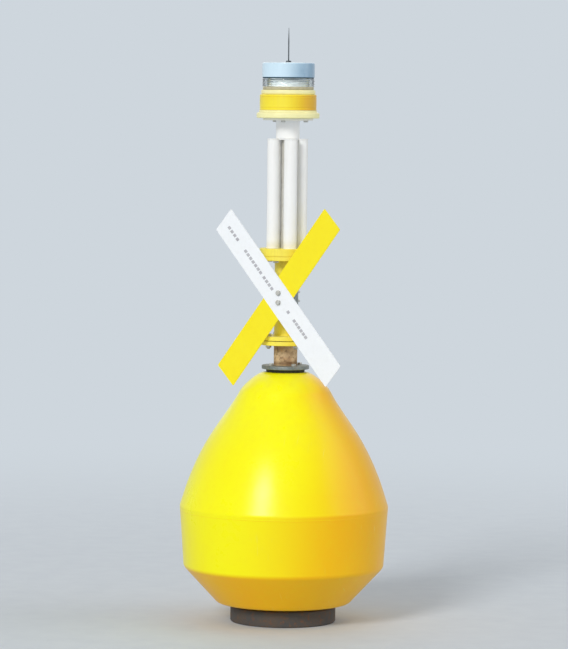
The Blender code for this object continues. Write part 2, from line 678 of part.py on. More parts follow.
def make_adaptor(white_paint, zinc):
    bore = POLE_R + GAP
    plate_z = ADAPTOR_TOP_Z - ADAPTOR_PLATE_THICKNESS
    outline = rounded([
        (bore, ADAPTOR_Z, 0),
        (ADAPTOR_DIAMETER / 2, ADAPTOR_Z, ADAPTOR_FOOT_EDGE),
        (ADAPTOR_DIAMETER / 2, plate_z, ADAPTOR_WELD),
        (ADAPTOR_PLATE_DIAMETER / 2, plate_z, ADAPTOR_PLATE_EDGE),
        (ADAPTOR_PLATE_DIAMETER / 2, ADAPTOR_TOP_Z, ADAPTOR_PLATE_EDGE),
        (bore, ADAPTOR_TOP_Z, 0),
    ])
    adaptor = add_piece("lantern_adaptor", turned("lantern_adaptor", outline, PIPE_SEGMENTS), white_paint)
    spots = circle_spots(LANTERN_BOLT_CIRCLE, LANTERN_BOLT_COUNT, 0, plate_z)
    through = ADAPTOR_PLATE_THICKNESS + CUT_PAST
    drill(adaptor, hole_set(spots, (0, 0, 1), LANTERN_BOLT_DIAMETER, through))
    grip = ADAPTOR_PLATE_THICKNESS + GAP + LANTERN_BOLT_GRIP
    bolt_set("lantern_bolt", spots, (0, 0, 1), LANTERN_BOLT_DIAMETER, grip, zinc)


def make_lantern_base(cream):
    lip = BASE_DIAMETER / 2
    neck = DRUM_DIAMETER / 2 + BASE_NECK_STEP
    well = DRUM_DIAMETER / 2 - BASE_WALL
    cable = CABLE_HOLE_DIAMETER / 2
    lip_z = BASE_Z + BASE_LIP_HEIGHT
    top = BASE_Z + BASE_HEIGHT
    outline = rounded([
        (cable, BASE_Z, 0),
        (lip, BASE_Z, BASE_FOOT_EDGE),
        (lip, lip_z, BASE_LIP_EDGE),
        (neck, lip_z + BASE_LIP_SLOPE, BASE_NECK_EDGE),
        (neck, top, BASE_NECK_EDGE),
        (well, top, 0),
        (well, BASE_FLOOR_Z, 0),
        (cable, BASE_FLOOR_Z, 0),
    ])
    base = add_piece("lantern_base", turned("lantern_base", outline, WIDE_SEGMENTS), cream)
    spots = circle_spots(LANTERN_BOLT_CIRCLE, LANTERN_BOLT_COUNT, 0, BASE_Z)
    depth = LANTERN_BOLT_GRIP + BLIND_SPARE
    drill(base, hole_set(spots, (0, 0, 1), LANTERN_BOLT_DIAMETER, depth))


def make_lantern_body(yellow):
    outer = DRUM_DIAMETER / 2
    top = DRUM_Z + DRUM_HEIGHT
    inner = outer - DRUM_WALL
    ledge = inner - DRUM_LEDGE
    outline = rounded([
        (inner, DRUM_Z, 0),
        (outer, DRUM_Z, DRUM_FOOT_EDGE),
        (outer, top, DRUM_TOP_EDGE),
        (ledge, top, 0),
        (ledge, top - DRUM_WALL, 0),
        (inner, top - DRUM_WALL, 0),
    ])
    add_piece("lantern_body", turned("lantern_body", outline, WIDE_SEGMENTS), yellow)


def make_electrics(battery_wrap, circuit):
    """The battery stands in the base's well and carries the control board."""
    half = Vector(BATTERY_SIZE) / 2
    middle = Vector((0, 0, BASE_FLOOR_Z + GAP + half.z))
    battery = box_mesh("battery_pack", middle - half, middle + half)
    piece = add_piece("battery_pack", battery, battery_wrap)
    bevel = piece.modifiers.new("rounded edges", "BEVEL")
    bevel.width = BATTERY_EDGE
    bevel.segments = 2

    board_z = middle.z + half.z + GAP
    board_top = board_z + BOARD_PLATE_THICKNESS
    radius = BOARD_PLATE_DIAMETER / 2
    plate = [(0, board_z), (radius, board_z), (radius, board_top), (0, board_top)]
    board = add_piece("control_board", turned("control_board", plate, TUBE_SEGMENTS), circuit)
    length, width, height = BOARD_PARTS_SIZE
    x, y = BOARD_PARTS_PLACE
    parts_low = (x - length / 2, y - width / 2, board_top - BOARD_PLATE_THICKNESS / 2)
    parts_high = (x + length / 2, y + width / 2, board_top + height)
    add_cutter(board, box_mesh("control_board_parts", parts_low, parts_high), "UNION")


def make_deck(cream, rubber):
    hole = CABLE_HOLE_DIAMETER / 2
    deck_top = DECK_Z + DECK_THICKNESS
    deck_outline = ring_outline(hole, DECK_DIAMETER / 2, DECK_Z, deck_top, DECK_EDGE)
    add_piece("lens_deck", turned("lens_deck", deck_outline, WIDE_SEGMENTS), cream)
    seal_inner = SEAL_DIAMETER / 2 - SEAL_WIDTH
    seal_outline = ring_outline(seal_inner, SEAL_DIAMETER / 2, SEAL_Z, SEAL_Z + SEAL_HEIGHT)
    add_piece("lens_seal", turned("lens_seal", seal_outline, WIDE_SEGMENTS), rubber)


def make_lens(clear, white_plastic, rubber):
    outer = LENS_DIAMETER / 2
    inner = outer - LENS_WALL
    outline = [(inner, LENS_Z)]
    pitch = LENS_HEIGHT / LENS_RIB_COUNT
    for rib in range(LENS_RIB_COUNT):
        low = LENS_Z + rib * pitch
        outline.append((outer - LENS_RIB_DEPTH, low))
        outline.append((outer, low + pitch * 0.5))
    outline.append((outer - LENS_RIB_DEPTH, LENS_Z + LENS_HEIGHT))
    outline.append((inner, LENS_Z + LENS_HEIGHT))
    add_piece("lens", turned("lens", outline, WIDE_SEGMENTS), clear)

    hole = CABLE_HOLE_DIAMETER / 2
    led_outline = ring_outline(hole, LED_DRUM_DIAMETER / 2, SEAL_Z, CAP_SEAL_Z, LED_DRUM_EDGE)
    add_piece("led_drum", turned("led_drum", led_outline, PIPE_SEGMENTS), white_plastic)
    seal_outline = ring_outline(inner, outer - LENS_RIB_DEPTH, CAP_SEAL_Z, CAP_SEAL_Z + CAP_SEAL_HEIGHT)
    add_piece("cap_seal", turned("cap_seal", seal_outline, WIDE_SEGMENTS), rubber)


def make_cap(cap_plastic, solar, dark_steel):
    outer = CAP_DIAMETER / 2
    inner = outer - CAP_WALL
    shank = SPIKE_SHANK_DIAMETER / 2 + GAP
    seat_r = PANEL_DIAMETER / 2 + GAP
    seat_z = CAP_TOP_Z - PANEL_SEAT_DEPTH
    ceiling = seat_z - CAP_WALL
    outline = rounded([
        (inner, CAP_Z, 0),
        (outer, CAP_Z, CAP_FOOT_EDGE),
        (outer, CAP_TOP_Z, CAP_EDGE),
        (seat_r, CAP_TOP_Z, 0),
        (seat_r, seat_z, 0),
        (shank, seat_z, 0),
        (shank, ceiling, 0),
        (inner, ceiling, 0),
    ])
    add_piece("lantern_cap", turned("lantern_cap", outline, WIDE_SEGMENTS), cap_plastic)
    panel_outline = ring_outline(shank, PANEL_DIAMETER / 2, PANEL_Z, PANEL_TOP_Z)
    add_piece("solar_panel", turned("solar_panel", panel_outline, WIDE_SEGMENTS), solar)

    foot_z = PANEL_TOP_Z + GAP
    boss_top = foot_z + SPIKE_BOSS_HEIGHT
    spike_top = foot_z + SPIKE_HEIGHT
    spike_outline = [
        (0, foot_z - SPIKE_SHANK_LENGTH),
        (SPIKE_SHANK_DIAMETER / 2, foot_z - SPIKE_SHANK_LENGTH),
        (SPIKE_SHANK_DIAMETER / 2, foot_z),
        (SPIKE_BOSS_DIAMETER / 2, foot_z),
        (SPIKE_BOSS_DIAMETER / 2, boss_top - SPIKE_BOSS_EDGE),
        (SPIKE_BOSS_DIAMETER / 2 - SPIKE_BOSS_EDGE, boss_top),
        (SPIKE_DIAMETER / 2, boss_top + SPIKE_BOSS_EDGE),
        (SPIKE_DIAMETER / 2, foot_z + SPIKE_STRAIGHT),
        (SPIKE_TIP_DIAMETER / 2, spike_top),
        (0, spike_top),
    ]
    add_piece("bird_spike", turned("bird_spike", spike_outline, ROD_SIDES), dark_steel)


def make_boards(white_board, yellow_board, galvanised, zinc):
    bolts = []
    for side in (-1, 1):
        z = BOARD_Z + side * BOARD_BOLT_SPACING / 2
        bolts.append(Vector((0, WHITE_BOARD_Y - BOARD_THICKNESS / 2, z)))
    through = BRACKET_FRONT_Y + BRACKET_WALL - bolts[0].y
    half = Vector((BOARD_LENGTH, BOARD_THICKNESS, BOARD_WIDTH)) / 2
    slant = math.tan(math.radians(BOARD_END_SLANT))
    layers = (
        ("white_board", WHITE_BOARD_Y, math.radians(WHITE_BOARD_SLOPE), -slant, white_board),
        ("yellow_board", YELLOW_BOARD_Y, -math.radians(YELLOW_BOARD_SLOPE), slant, yellow_board),
    )
    for name, y, turn, lean, material in layers:
        outline = box_mesh(name, -half, half)
        for vertex in outline.vertices:
            vertex.co.x += lean * vertex.co.z
        board = add_piece(name, outline, material, (0, y, BOARD_Z), (0, turn, 0))
        bevel = board.modifiers.new("eased edges", "BEVEL")
        bevel.width = BOARD_EDGE
        bevel.segments = 1
        drill(board, hole_set(bolts, (0, 1, 0), BOARD_BOLT_DIAMETER, through + CUT_PAST))

    bracket_low = (-BRACKET_WIDTH / 2, BRACKET_FRONT_Y, BOARD_Z - BRACKET_HEIGHT / 2)
    bracket_high = (BRACKET_WIDTH / 2, BRACKET_BACK_Y, BOARD_Z + BRACKET_HEIGHT / 2)
    bracket = add_piece("board_bracket", box_mesh("board_bracket", bracket_low, bracket_high), galvanised)
    wall = Vector((BRACKET_WALL, BRACKET_WALL, -CUT_PAST))
    hollow = box_mesh("board_bracket_hollow", Vector(bracket_low) + wall, Vector(bracket_high) - wall)
    add_cutter(bracket, hollow)
    holes = hole_set(bolts, (0, 1, 0), BOARD_BOLT_DIAMETER, through + CUT_PAST)
    leg_x = PIPE_R + U_BOLT_FIT + U_BOLT_DIAMETER / 2
    leg_spots = []
    for z_side in (-1, 1):
        for x_side in (-1, 1):
            z = BOARD_Z + z_side * U_BOLT_SPACING / 2
            leg_spots.append(Vector((x_side * leg_x, BRACKET_BACK_Y, z)))
    holes += hole_set(leg_spots, (0, -1, 0), U_BOLT_DIAMETER, BRACKET_WALL + CUT_PAST)
    drill(bracket, holes)
    bolt_set("board_bolt", bolts, (0, 1, 0), BOARD_BOLT_DIAMETER, through, zinc, nut=True, washer=True)
    make_u_bolts(leg_x, zinc)


def make_u_bolts(leg_x, zinc):
    """Each U-bolt runs round the back of the mast, its legs through the bracket and nuts inside it."""
    rod = U_BOLT_DIAMETER / 2
    flats = U_BOLT_DIAMETER * HEAD_HALF_WIDTH
    nut_y = BRACKET_BACK_Y - BRACKET_WALL - GAP
    nut_end_y = nut_y - U_BOLT_DIAMETER * NUT_HEIGHT
    end_y = nut_end_y - U_BOLT_END
    up = Vector((0, 0, 1))
    leg = [
        (end_y, rod, False),
        (nut_end_y, rod, False),
        (nut_end_y, flats, True),
        (nut_y, flats, True),
        (nut_y, rod, False),
    ]
    for index, side in enumerate((-1, 1)):
        z = BOARD_Z + side * U_BOLT_SPACING / 2
        rings = []
        for y, radius, hexagon in leg:
            rings.append(ring_points(Vector((leg_x, y, z)), Vector((1, 0, 0)), up, radius, hexagon))
        for step in range(U_BOLT_ARC_STEPS + 1):
            angle = math.pi * step / U_BOLT_ARC_STEPS
            outward = Vector((math.cos(angle), math.sin(angle), 0))
            rings.append(ring_points(outward * leg_x + up * z, outward, up, rod))
        for y, radius, hexagon in reversed(leg):
            rings.append(ring_points(Vector((-leg_x, y, z)), Vector((-1, 0, 0)), up, radius, hexagon))
        bm = bmesh.new()
        add_rings(bm, rings)
        name = f"mast_u_bolt_{index + 1}"
        add_piece(name, finish_mesh(bm, name), zinc)


def build():
    clear_scene()
    yellow_plastic = make_material("float_yellow", (0.98, 0.80, 0.02), 0.35)
    yellow_paint = make_material("mast_yellow", (0.95, 0.79, 0.05), 0.40)
    yellow_housing = make_material("housing_yellow", (0.90, 0.68, 0.04), 0.40)
    yellow_sheet = make_material("board_yellow", (0.95, 0.82, 0.03), 0.40)
    white_sheet = make_material("board_white", (0.90, 0.92, 0.93), 0.45)
    white_paint = make_material("paint_white", (0.88, 0.88, 0.86), 0.40)
    white_plastic = make_material("tube_white", (0.90, 0.90, 0.88), 0.40)
    led_white = make_material("led_white", (0.92, 0.93, 0.92), 0.35)
    cream = make_material("housing_cream", (0.86, 0.84, 0.66), 0.45)
    cap_plastic = make_material("cap_pale", (0.74, 0.84, 0.93), 0.20)
    clear = make_material("lens_clear", (0.85, 0.93, 0.94), 0.08, clear=0.9)
    rubber = make_material("rubber_black", (0.05, 0.05, 0.05), 0.75)
    tan_rubber = make_material("seal_brown", (0.22, 0.19, 0.13), 0.70)
    rusty_steel = make_material("pipe_rust", (0.36, 0.22, 0.11), 0.80, 0.3)
    galvanised = make_material("galvanised", (0.42, 0.43, 0.42), 0.50, 0.8)
    zinc = make_material("bolt_zinc", (0.50, 0.50, 0.49), 0.40, 0.9)
    cast_iron = make_material("cast_iron", (0.10, 0.10, 0.10), 0.70, 0.5)
    dark_steel = make_material("spike_steel", (0.16, 0.17, 0.18), 0.40, 0.8)
    foil = make_material("core_foil", (0.75, 0.76, 0.77), 0.25, 1.0)
    battery_wrap = make_material("battery_blue", (0.05, 0.12, 0.30), 0.50)
    circuit = make_material("circuit_green", (0.03, 0.20, 0.08), 0.50)
    solar = make_material("solar_blue", (0.02, 0.04, 0.12), 0.10)

    make_ballast(cast_iron, zinc)
    make_mooring_eye(rusty_steel)
    make_float(yellow_plastic)
    make_stand(rusty_steel, rubber, galvanised, yellow_paint, zinc)
    make_mast(yellow_paint, zinc)
    make_reflectors(white_plastic, foil, galvanised, white_paint)
    make_adaptor(white_paint, zinc)
    make_lantern_base(cream)
    make_lantern_body(yellow_housing)
    make_electrics(battery_wrap, circuit)
    make_deck(cream, tan_rubber)
    make_lens(clear, led_white, rubber)
    make_cap(cap_plastic, solar, dark_steel)
    make_boards(white_sheet, yellow_sheet, galvanised, zinc)


build()
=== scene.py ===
import math

import bmesh
import bpy
from mathutils import Matrix, Vector
from mathutils.geometry import interpolate_bezier


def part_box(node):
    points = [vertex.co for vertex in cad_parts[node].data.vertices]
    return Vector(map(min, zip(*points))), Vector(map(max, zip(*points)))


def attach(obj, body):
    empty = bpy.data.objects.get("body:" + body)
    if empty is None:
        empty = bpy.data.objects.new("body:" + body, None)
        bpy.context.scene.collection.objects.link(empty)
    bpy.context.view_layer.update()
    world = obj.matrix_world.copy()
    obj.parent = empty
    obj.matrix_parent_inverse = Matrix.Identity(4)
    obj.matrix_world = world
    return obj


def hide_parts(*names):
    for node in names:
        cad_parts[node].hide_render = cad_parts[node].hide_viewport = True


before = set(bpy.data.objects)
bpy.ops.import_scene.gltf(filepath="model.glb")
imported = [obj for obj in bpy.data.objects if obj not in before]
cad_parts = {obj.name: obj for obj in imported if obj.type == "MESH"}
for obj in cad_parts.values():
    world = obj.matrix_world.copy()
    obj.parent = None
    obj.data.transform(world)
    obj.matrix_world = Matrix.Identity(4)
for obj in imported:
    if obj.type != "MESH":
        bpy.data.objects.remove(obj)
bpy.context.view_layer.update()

gap = 0.0003  # what the solids leave between pieces that touch
crisp, fine, soft = 0.0006, 0.001, 0.002  # edge radii that many pieces share
right = Vector((1, 0, 0))
inward = Vector((0, 1, 0))  # from the boards towards the mast
up = Vector((0, 0, 1))
down = Vector((0, 0, -1))
socketKinds = {float: "Float", int: "Int", tuple: "Vector"}
print("frame loaded:", len(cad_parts), "nodes")


# node trees

def addNode(tree, kind, inputs=None, **settings):
    # a node given as a value stands for its first output
    node = tree.nodes.new(kind)
    for name, value in settings.items():
        setattr(node, name, value)
    for socket, value in (inputs or {}).items():
        if isinstance(value, bpy.types.Node):
            value = value.outputs[0]
        if isinstance(value, bpy.types.NodeSocket):
            tree.links.new(value, node.inputs[socket])
        else:
            node.inputs[socket].default_value = value
    return node


def newGroup(name, kind, inputs, output, outputKind):
    # an input's kind follows its value, or is given by name where it has none
    group = bpy.data.node_groups.new(name, kind)
    for title, value in inputs.items():
        socketKind = value if isinstance(value, str) else socketKinds[type(value)]
        socket = group.interface.new_socket(title, in_out="INPUT", socket_type="NodeSocket" + socketKind)
        if not isinstance(value, str):
            socket.default_value = value
    group.interface.new_socket(output, in_out="OUTPUT", socket_type="NodeSocket" + outputKind)
    given = group.nodes.new("NodeGroupInput").outputs
    return group, given, group.nodes.new("NodeGroupOutput").inputs[0]


def maths(tree, operation, first, second=0.0):
    return addNode(tree, "ShaderNodeMath", {0: first, 1: second}, operation=operation).outputs[0]


def product(tree, first, *others):
    for other in others:
        first = maths(tree, "MULTIPLY", first, other)
    return first


def vectorMaths(tree, operation, first, second):
    # scaling takes its factor at socket 3
    inputs = {0: first, 3 if operation == "SCALE" else 1: second}
    return addNode(tree, "ShaderNodeVectorMath", inputs, operation=operation).outputs


def partOf(tree, vector, axis):
    return addNode(tree, "ShaderNodeSeparateXYZ", {0: vector}).outputs[axis]


def fitRange(tree, value, low, high, **settings):
    return addNode(tree, "ShaderNodeMapRange", {0: value, 1: low, 2: high}, **settings).outputs[0]


def noiseOf(tree, vector, scale, detail=3.0, roughness=0.5):
    inputs = {"Vector": vector, "Scale": scale, "Detail": detail, "Roughness": roughness}
    return addNode(tree, "ShaderNodeTexNoise", inputs).outputs[0]


def objectPlace(tree):
    return addNode(tree, "ShaderNodeTexCoord").outputs["Object"]


def facingOf(tree):
    return addNode(tree, "ShaderNodeNewGeometry").outputs["Normal"]


def stretched(tree, vector, scale, turn=(0, 0, 0)):
    return addNode(tree, "ShaderNodeMapping", {"Vector": vector, "Scale": scale, "Rotation": turn}).outputs[0]


def mixColours(tree, share, first, second):
    return addNode(tree, "ShaderNodeMix", {0: share, 6: first, 7: second}, data_type="RGBA").outputs[2]


def mixValues(tree, share, first, second):
    return addNode(tree, "ShaderNodeMix", {0: share, 2: first, 3: second}).outputs[0]


def mixShaders(tree, share, first, second, output):
    mix = addNode(tree, "ShaderNodeMixShader", {0: share, 1: first, 2: second})
    tree.links.new(mix.outputs[0], tree.nodes[output].inputs["Surface"])


def rgb(red, green, blue):
    # a colour as seen on a screen, 0 to 255, turned linear
    linear = []
    for part in (red, green, blue):
        share = part / 255
        linear.append(share / 12.92 if share <= 0.04045 else ((share + 0.055) / 1.055) ** 2.4)
    return (*linear, 1.0)


# Geometry Nodes: a turned piece, and copies of one piece on a set of spots

def endTree(tree, geometry, material, result):
    real = addNode(tree, "GeometryNodeRealizeInstances", {0: geometry})
    dressed = addNode(tree, "GeometryNodeSetMaterial", {"Geometry": real, "Material": material})
    tree.links.new(dressed.outputs[0], result)
    return tree


def makeTurnTree():
    tree, given, result = newGroup("turn outline", "GeometryNodeTree", {
        "Outline": "Geometry", "Segments": 96, "Unevenness": 0.0, "Unevenness Scale": 8.0, "Seed": 1,
        "Material": "Material",
    }, "Mesh", "Geometry")
    count = addNode(tree, "GeometryNodeAttributeDomainSize", {0: given["Outline"]}).outputs["Point Count"]
    columns = maths(tree, "ADD", given["Segments"], 1.0)
    grid = addNode(tree, "GeometryNodeMeshGrid", {"Vertices X": columns, "Vertices Y": count})
    index = addNode(tree, "GeometryNodeInputIndex").outputs[0]
    sample = addNode(tree, "GeometryNodeSampleIndex", {
        "Geometry": given["Outline"], 1: addNode(tree, "GeometryNodeInputPosition"),
        "Index": maths(tree, "MODULO", index, count),
    }, data_type="FLOAT_VECTOR", domain="POINT")
    radius, _, height = addNode(tree, "ShaderNodeSeparateXYZ", {0: sample}).outputs
    turn = maths(tree, "FLOOR", maths(tree, "DIVIDE", index, count))
    angle = maths(tree, "DIVIDE", product(tree, turn, math.tau), given["Segments"])
    around = [maths(tree, "COSINE", angle), maths(tree, "SINE", angle)]

    def spun(reach):
        x, y = [product(tree, share, reach) for share in around]
        return addNode(tree, "ShaderNodeCombineXYZ", {0: x, 1: y, 2: height})

    wave = addNode(tree, "ShaderNodeTexNoise", {
        "Vector": spun(radius), "W": product(tree, given["Seed"], 3.7),
        "Scale": given["Unevenness Scale"], "Detail": 2.0,
    }, noise_dimensions="4D").outputs[0]
    swell = product(tree, maths(tree, "SUBTRACT", wave, 0.5), given["Unevenness"])
    final = spun(maths(tree, "ADD", radius, swell))
    moved = addNode(tree, "GeometryNodeSetPosition", {"Geometry": grid, "Position": final})
    closed = addNode(tree, "GeometryNodeMergeByDistance", {"Geometry": moved, "Distance": 0.00001})
    return endTree(tree, closed, given["Material"], result)


def makeCopyTree():
    tree, given, result = newGroup("copies on spots", "GeometryNodeTree", {
        "Spots": "Geometry", "Piece": "Object", "Face Outwards": 0.0, "Spin Axis": (0.0, 0.0, 1.0),
        "Spin": 0.0, "Size Spread": 0.0, "Seed": 1, "Material": "Material",
    }, "Mesh", "Geometry")
    source = addNode(tree, "GeometryNodeObjectInfo", {"Object": given["Piece"]})
    place = addNode(tree, "GeometryNodeInputPosition").outputs[0]
    bearing = maths(tree, "ARCTAN2", partOf(tree, place, 1), partOf(tree, place, 0))
    facing = addNode(tree, "ShaderNodeCombineXYZ", {2: product(tree, bearing, given["Face Outwards"])})

    def drawn(low, high, seed):
        return addNode(tree, "FunctionNodeRandomValue", {2: low, 3: high, "Seed": seed}).outputs[1]

    turned = vectorMaths(tree, "SCALE", given["Spin Axis"], drawn(0.0, given["Spin"], given["Seed"]))[0]
    smallest = maths(tree, "SUBTRACT", 1.0, given["Size Spread"])
    copies = addNode(tree, "GeometryNodeInstanceOnPoints", {
        "Points": given["Spots"], "Instance": source.outputs["Geometry"],
        "Rotation": vectorMaths(tree, "ADD", facing, turned)[0],
        "Scale": drawn(smallest, 1.0, maths(tree, "ADD", given["Seed"], 11.0)),
    })
    return endTree(tree, copies, given["Material"], result)


turnTree = makeTurnTree()
copyTree = makeCopyTree()
print("geometry trees made")


# mesh helpers

def bottom(node):
    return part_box(node)[0].z


def top(node):
    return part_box(node)[1].z


def levels(node):
    return bottom(node), top(node)


def middleOf(node):
    low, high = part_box(node)
    return (low + high) / 2


def halfWidth(node):
    low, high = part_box(node)
    return (high.x - low.x) / 2


def numbered(stem, count):
    return [f"{stem}_{index + 1}" for index in range(count)]


def addObject(name, data):
    item = bpy.data.objects.new(name, data)
    bpy.context.scene.collection.objects.link(item)
    return item


def meshFrom(name, points, edges=()):
    mesh = bpy.data.meshes.new(name)
    mesh.from_pydata([tuple(point) for point in points], list(edges), [])
    return mesh


def meshOf(shape, name):
    mesh = bpy.data.meshes.new(name)
    shape.to_mesh(mesh)
    shape.free()
    return mesh


def outwardNormals(mesh, mergeWithin=None):
    shape = bmesh.new()
    shape.from_mesh(mesh)
    if mergeWithin:
        bmesh.ops.remove_doubles(shape, verts=shape.verts, dist=mergeWithin)
    bmesh.ops.recalc_face_normals(shape, faces=shape.faces)
    shape.to_mesh(mesh)
    shape.free()


def applyModifier(piece, modifier):
    graph = bpy.context.evaluated_depsgraph_get()
    made = bpy.data.meshes.new_from_object(piece.evaluated_get(graph), depsgraph=graph)
    piece.modifiers.remove(modifier)
    piece.data = made


def applyBoolean(piece, operation, other):
    modifier = piece.modifiers.new("solids", "BOOLEAN")
    modifier.operation = operation
    modifier.solver = "EXACT"
    modifier.object = other
    applyModifier(piece, modifier)
    bpy.data.objects.remove(other)


def runTree(name, tree, mesh, values):
    piece = addObject(name, mesh)
    modifier = piece.modifiers.new(tree.name, "NODES")
    modifier.node_group = tree
    for item in tree.interface.items_tree:
        if item.in_out == "INPUT" and item.name in values:
            modifier[item.identifier] = values[item.name]
    applyModifier(piece, modifier)
    return piece


def finishPiece(piece, nodes, sharpAngle=35):
    outwardNormals(piece.data, 0.000002)
    piece.data.shade_smooth()
    piece.data.set_sharp_from_angle(angle=math.radians(sharpAngle))
    flatter = piece.modifiers.new("flat faces stay flat", "WEIGHTED_NORMAL")
    flatter.keep_sharp = True
    applyModifier(piece, flatter)
    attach(piece, "root")
    if nodes:
        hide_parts(*nodes)


def dressNode(node, mesh, slotName):
    # the mesh takes the node's place, in the finish of its slot
    mesh.materials.clear()
    mesh.materials.append(finishes[slotName])
    finishPiece(addObject(node + "_finished", mesh), [node])


def roundCorners(cornerList, steps=5):
    # (radius, height, fillet) corners made an outline with its corners rounded
    mostOfSide = 0.45
    outline = []
    for index, (radius, height, fillet) in enumerate(cornerList):
        here = Vector((radius, height))
        if fillet == 0:
            outline.append((radius, height))
            continue
        before = Vector(cornerList[index - 1][:2]) - here
        after = Vector(cornerList[(index + 1) % len(cornerList)][:2]) - here
        halfAngle = before.angle(after) / 2
        reach = min(fillet / math.tan(halfAngle), before.length * mostOfSide, after.length * mostOfSide)
        arcRadius = reach * math.tan(halfAngle)
        aside = (before.normalized() + after.normalized()).normalized()
        middle = here + aside * (arcRadius / math.sin(halfAngle))
        start = here + before.normalized() * reach - middle
        end = here + after.normalized() * reach - middle
        sweep = start.angle_signed(end)
        for step in range(steps + 1):
            point = middle + Matrix.Rotation(-sweep * step / steps, 2) @ start
            outline.append((point.x, point.y))
    return outline


def outlineMesh(name, outline):
    # on the axis at both ends it is a solid, and otherwise it closes on itself
    points = [(radius, 0, height) for radius, height in outline]
    if outline[0][0] > 0 or outline[-1][0] > 0:
        points.append(points[0])
    return meshFrom(name, points, [(i, i + 1) for i in range(len(points) - 1)])


def turned(name, outline, segments, values=None):
    return runTree(name, turnTree, outlineMesh(name, outline), {"Segments": segments, **(values or {})})


def turnPiece(node, outline, slotName, segments=96, finish=None, holes=None, values=None):
    material = finishes[finish or slotName]
    piece = turned(node + "_finished", outline, segments, {"Material": material, **(values or {})})
    if holes:
        bmesh.ops.recalc_face_normals(holes, faces=holes.faces)
        helper = addObject(node + "_holes", meshOf(holes, node + "_holes"))
        helper.data.materials.append(material)
        applyBoolean(piece, "DIFFERENCE", helper)
    finishPiece(piece, [node])


def ringSection(inner, outer, low, high, edge):
    # a plain ring's section, its outer edges rounded and its bore's edges just broken
    broken = min(edge, crisp)
    return roundCorners([(inner, low, broken), (outer, low, edge), (outer, high, edge), (inner, high, broken)])


def turnRing(node, inner, edge, slotName, segments=96, **more):
    outline = ringSection(inner, halfWidth(node), *levels(node), edge)
    turnPiece(node, outline, slotName, segments, **more)


def copyPiece(name, mesh, spots, slotName, nodes=(), finish=None, sharpAngle=35, values=None):
    source = addObject(name + "_one", mesh)
    piece = runTree(name, copyTree, meshFrom(name + "_spots", spots), {
        "Piece": source, "Material": finishes[finish or slotName], **(values or {}),
    })
    bpy.data.objects.remove(source)
    finishPiece(piece, nodes, sharpAngle)


def ringPoints(centre, across, upwards, reachAt, sides):
    points = []
    for index in range(sides):
        angle = math.tau * index / sides
        points.append(centre + (across * math.cos(angle) + upwards * math.sin(angle)) * reachAt(angle))
    return points


def bridgeLoops(shape, lowerLoops, upperLoops):
    for lower, upper in zip(lowerLoops, upperLoops):
        for index in range(len(lower)):
            shape.faces.new((lower[index - 1], lower[index], upper[index], upper[index - 1]))


def joinRings(shape, rings):
    loops = [[shape.verts.new(point) for point in ring] for ring in rings]
    bridgeLoops(shape, loops, loops[1:])
    shape.faces.new(loops[0])
    shape.faces.new(loops[-1])


def roundReach(radius):
    return lambda angle: radius


def hexReach(flats, cap=1.0):
    # half the width across flats, its corners cut back to cap times that where cap is small
    def reach(angle):
        fromFlat = (angle + math.pi / 6) % (math.pi / 3) - math.pi / 6
        return flats * min(1 / math.cos(fromFlat), cap)
    return reach


def addRods(shape, nodes, stations, sides=48):
    # an upright rod of (height, radius) stations on the axis of each node
    for node in nodes:
        centre = middleOf(node)
        joinRings(shape, [
            ringPoints(Vector((centre.x, centre.y, level)), right, inward, roundReach(radius), sides)
            for level, radius in stations
        ])
    return shape


# shared effects, as shader groups that put out masks

def makeEffect(name, inputs, build, output="Mask"):
    # a mask is multiplied by its Amount, which is always its last input
    amount = {"Amount": 1.0} if output == "Mask" else {}
    tree, given, result = newGroup(name, "ShaderNodeTree", {**inputs, **amount}, output, "Float")
    value = build(tree, objectPlace(tree), given)
    tree.links.new(product(tree, value, given["Amount"]) if amount else value, result)
    return tree


def patchOf(tree, place, scale, detail, roughness, low, high):
    return fitRange(tree, noiseOf(tree, place, scale, detail, roughness), low, high)


def mottleMask(tree, place, given):
    return patchOf(tree, place, given["Scale"], 5.0, 0.55, given["Low"], given["High"])


def runsMask(tree, place, given):
    # streaks that start under a level and fade downwards
    streak = patchOf(tree, stretched(tree, place, (1.0, 1.0, 0.05)), given["Scale"], 4.0, 0.6, 0.5, 0.75)
    level = partOf(tree, place, 2)
    foot = maths(tree, "SUBTRACT", given["Top"], given["Reach"])
    fade = maths(tree, "POWER", fitRange(tree, level, foot, given["Top"]), 1.6)
    return product(tree, streak, fade, maths(tree, "LESS_THAN", level, given["Top"]))


def edgesMask(tree, place, given):
    softened = addNode(tree, "ShaderNodeBevel", {"Radius": given["Radius"]}, samples=4)
    alike = vectorMaths(tree, "DOT_PRODUCT", softened, facingOf(tree))["Value"]
    chips = patchOf(tree, place, given["Break-up"], 4.0, 0.65, 0.44, 0.60)
    return product(tree, fitRange(tree, alike, 0.985, 0.86), chips)


def dustMask(tree, place, given):
    lying = fitRange(tree, partOf(tree, facingOf(tree), 2), 0.45, 1.0)
    return product(tree, patchOf(tree, place, given["Scale"], 5.0, 0.6, 0.36, 0.66), lying)


def paintedLitSideMask(tree, place, given):
    # painted light: the side that faces the key lamp gets the lighter layer colour, and the side turned away
    # keeps the darker base colour as painted shade
    alike = vectorMaths(tree, "DOT_PRODUCT", facingOf(tree), (-0.44, -0.63, 0.64))["Value"]
    return fitRange(tree, alike, given["From"], given["To"], interpolation_type="SMOOTHSTEP")


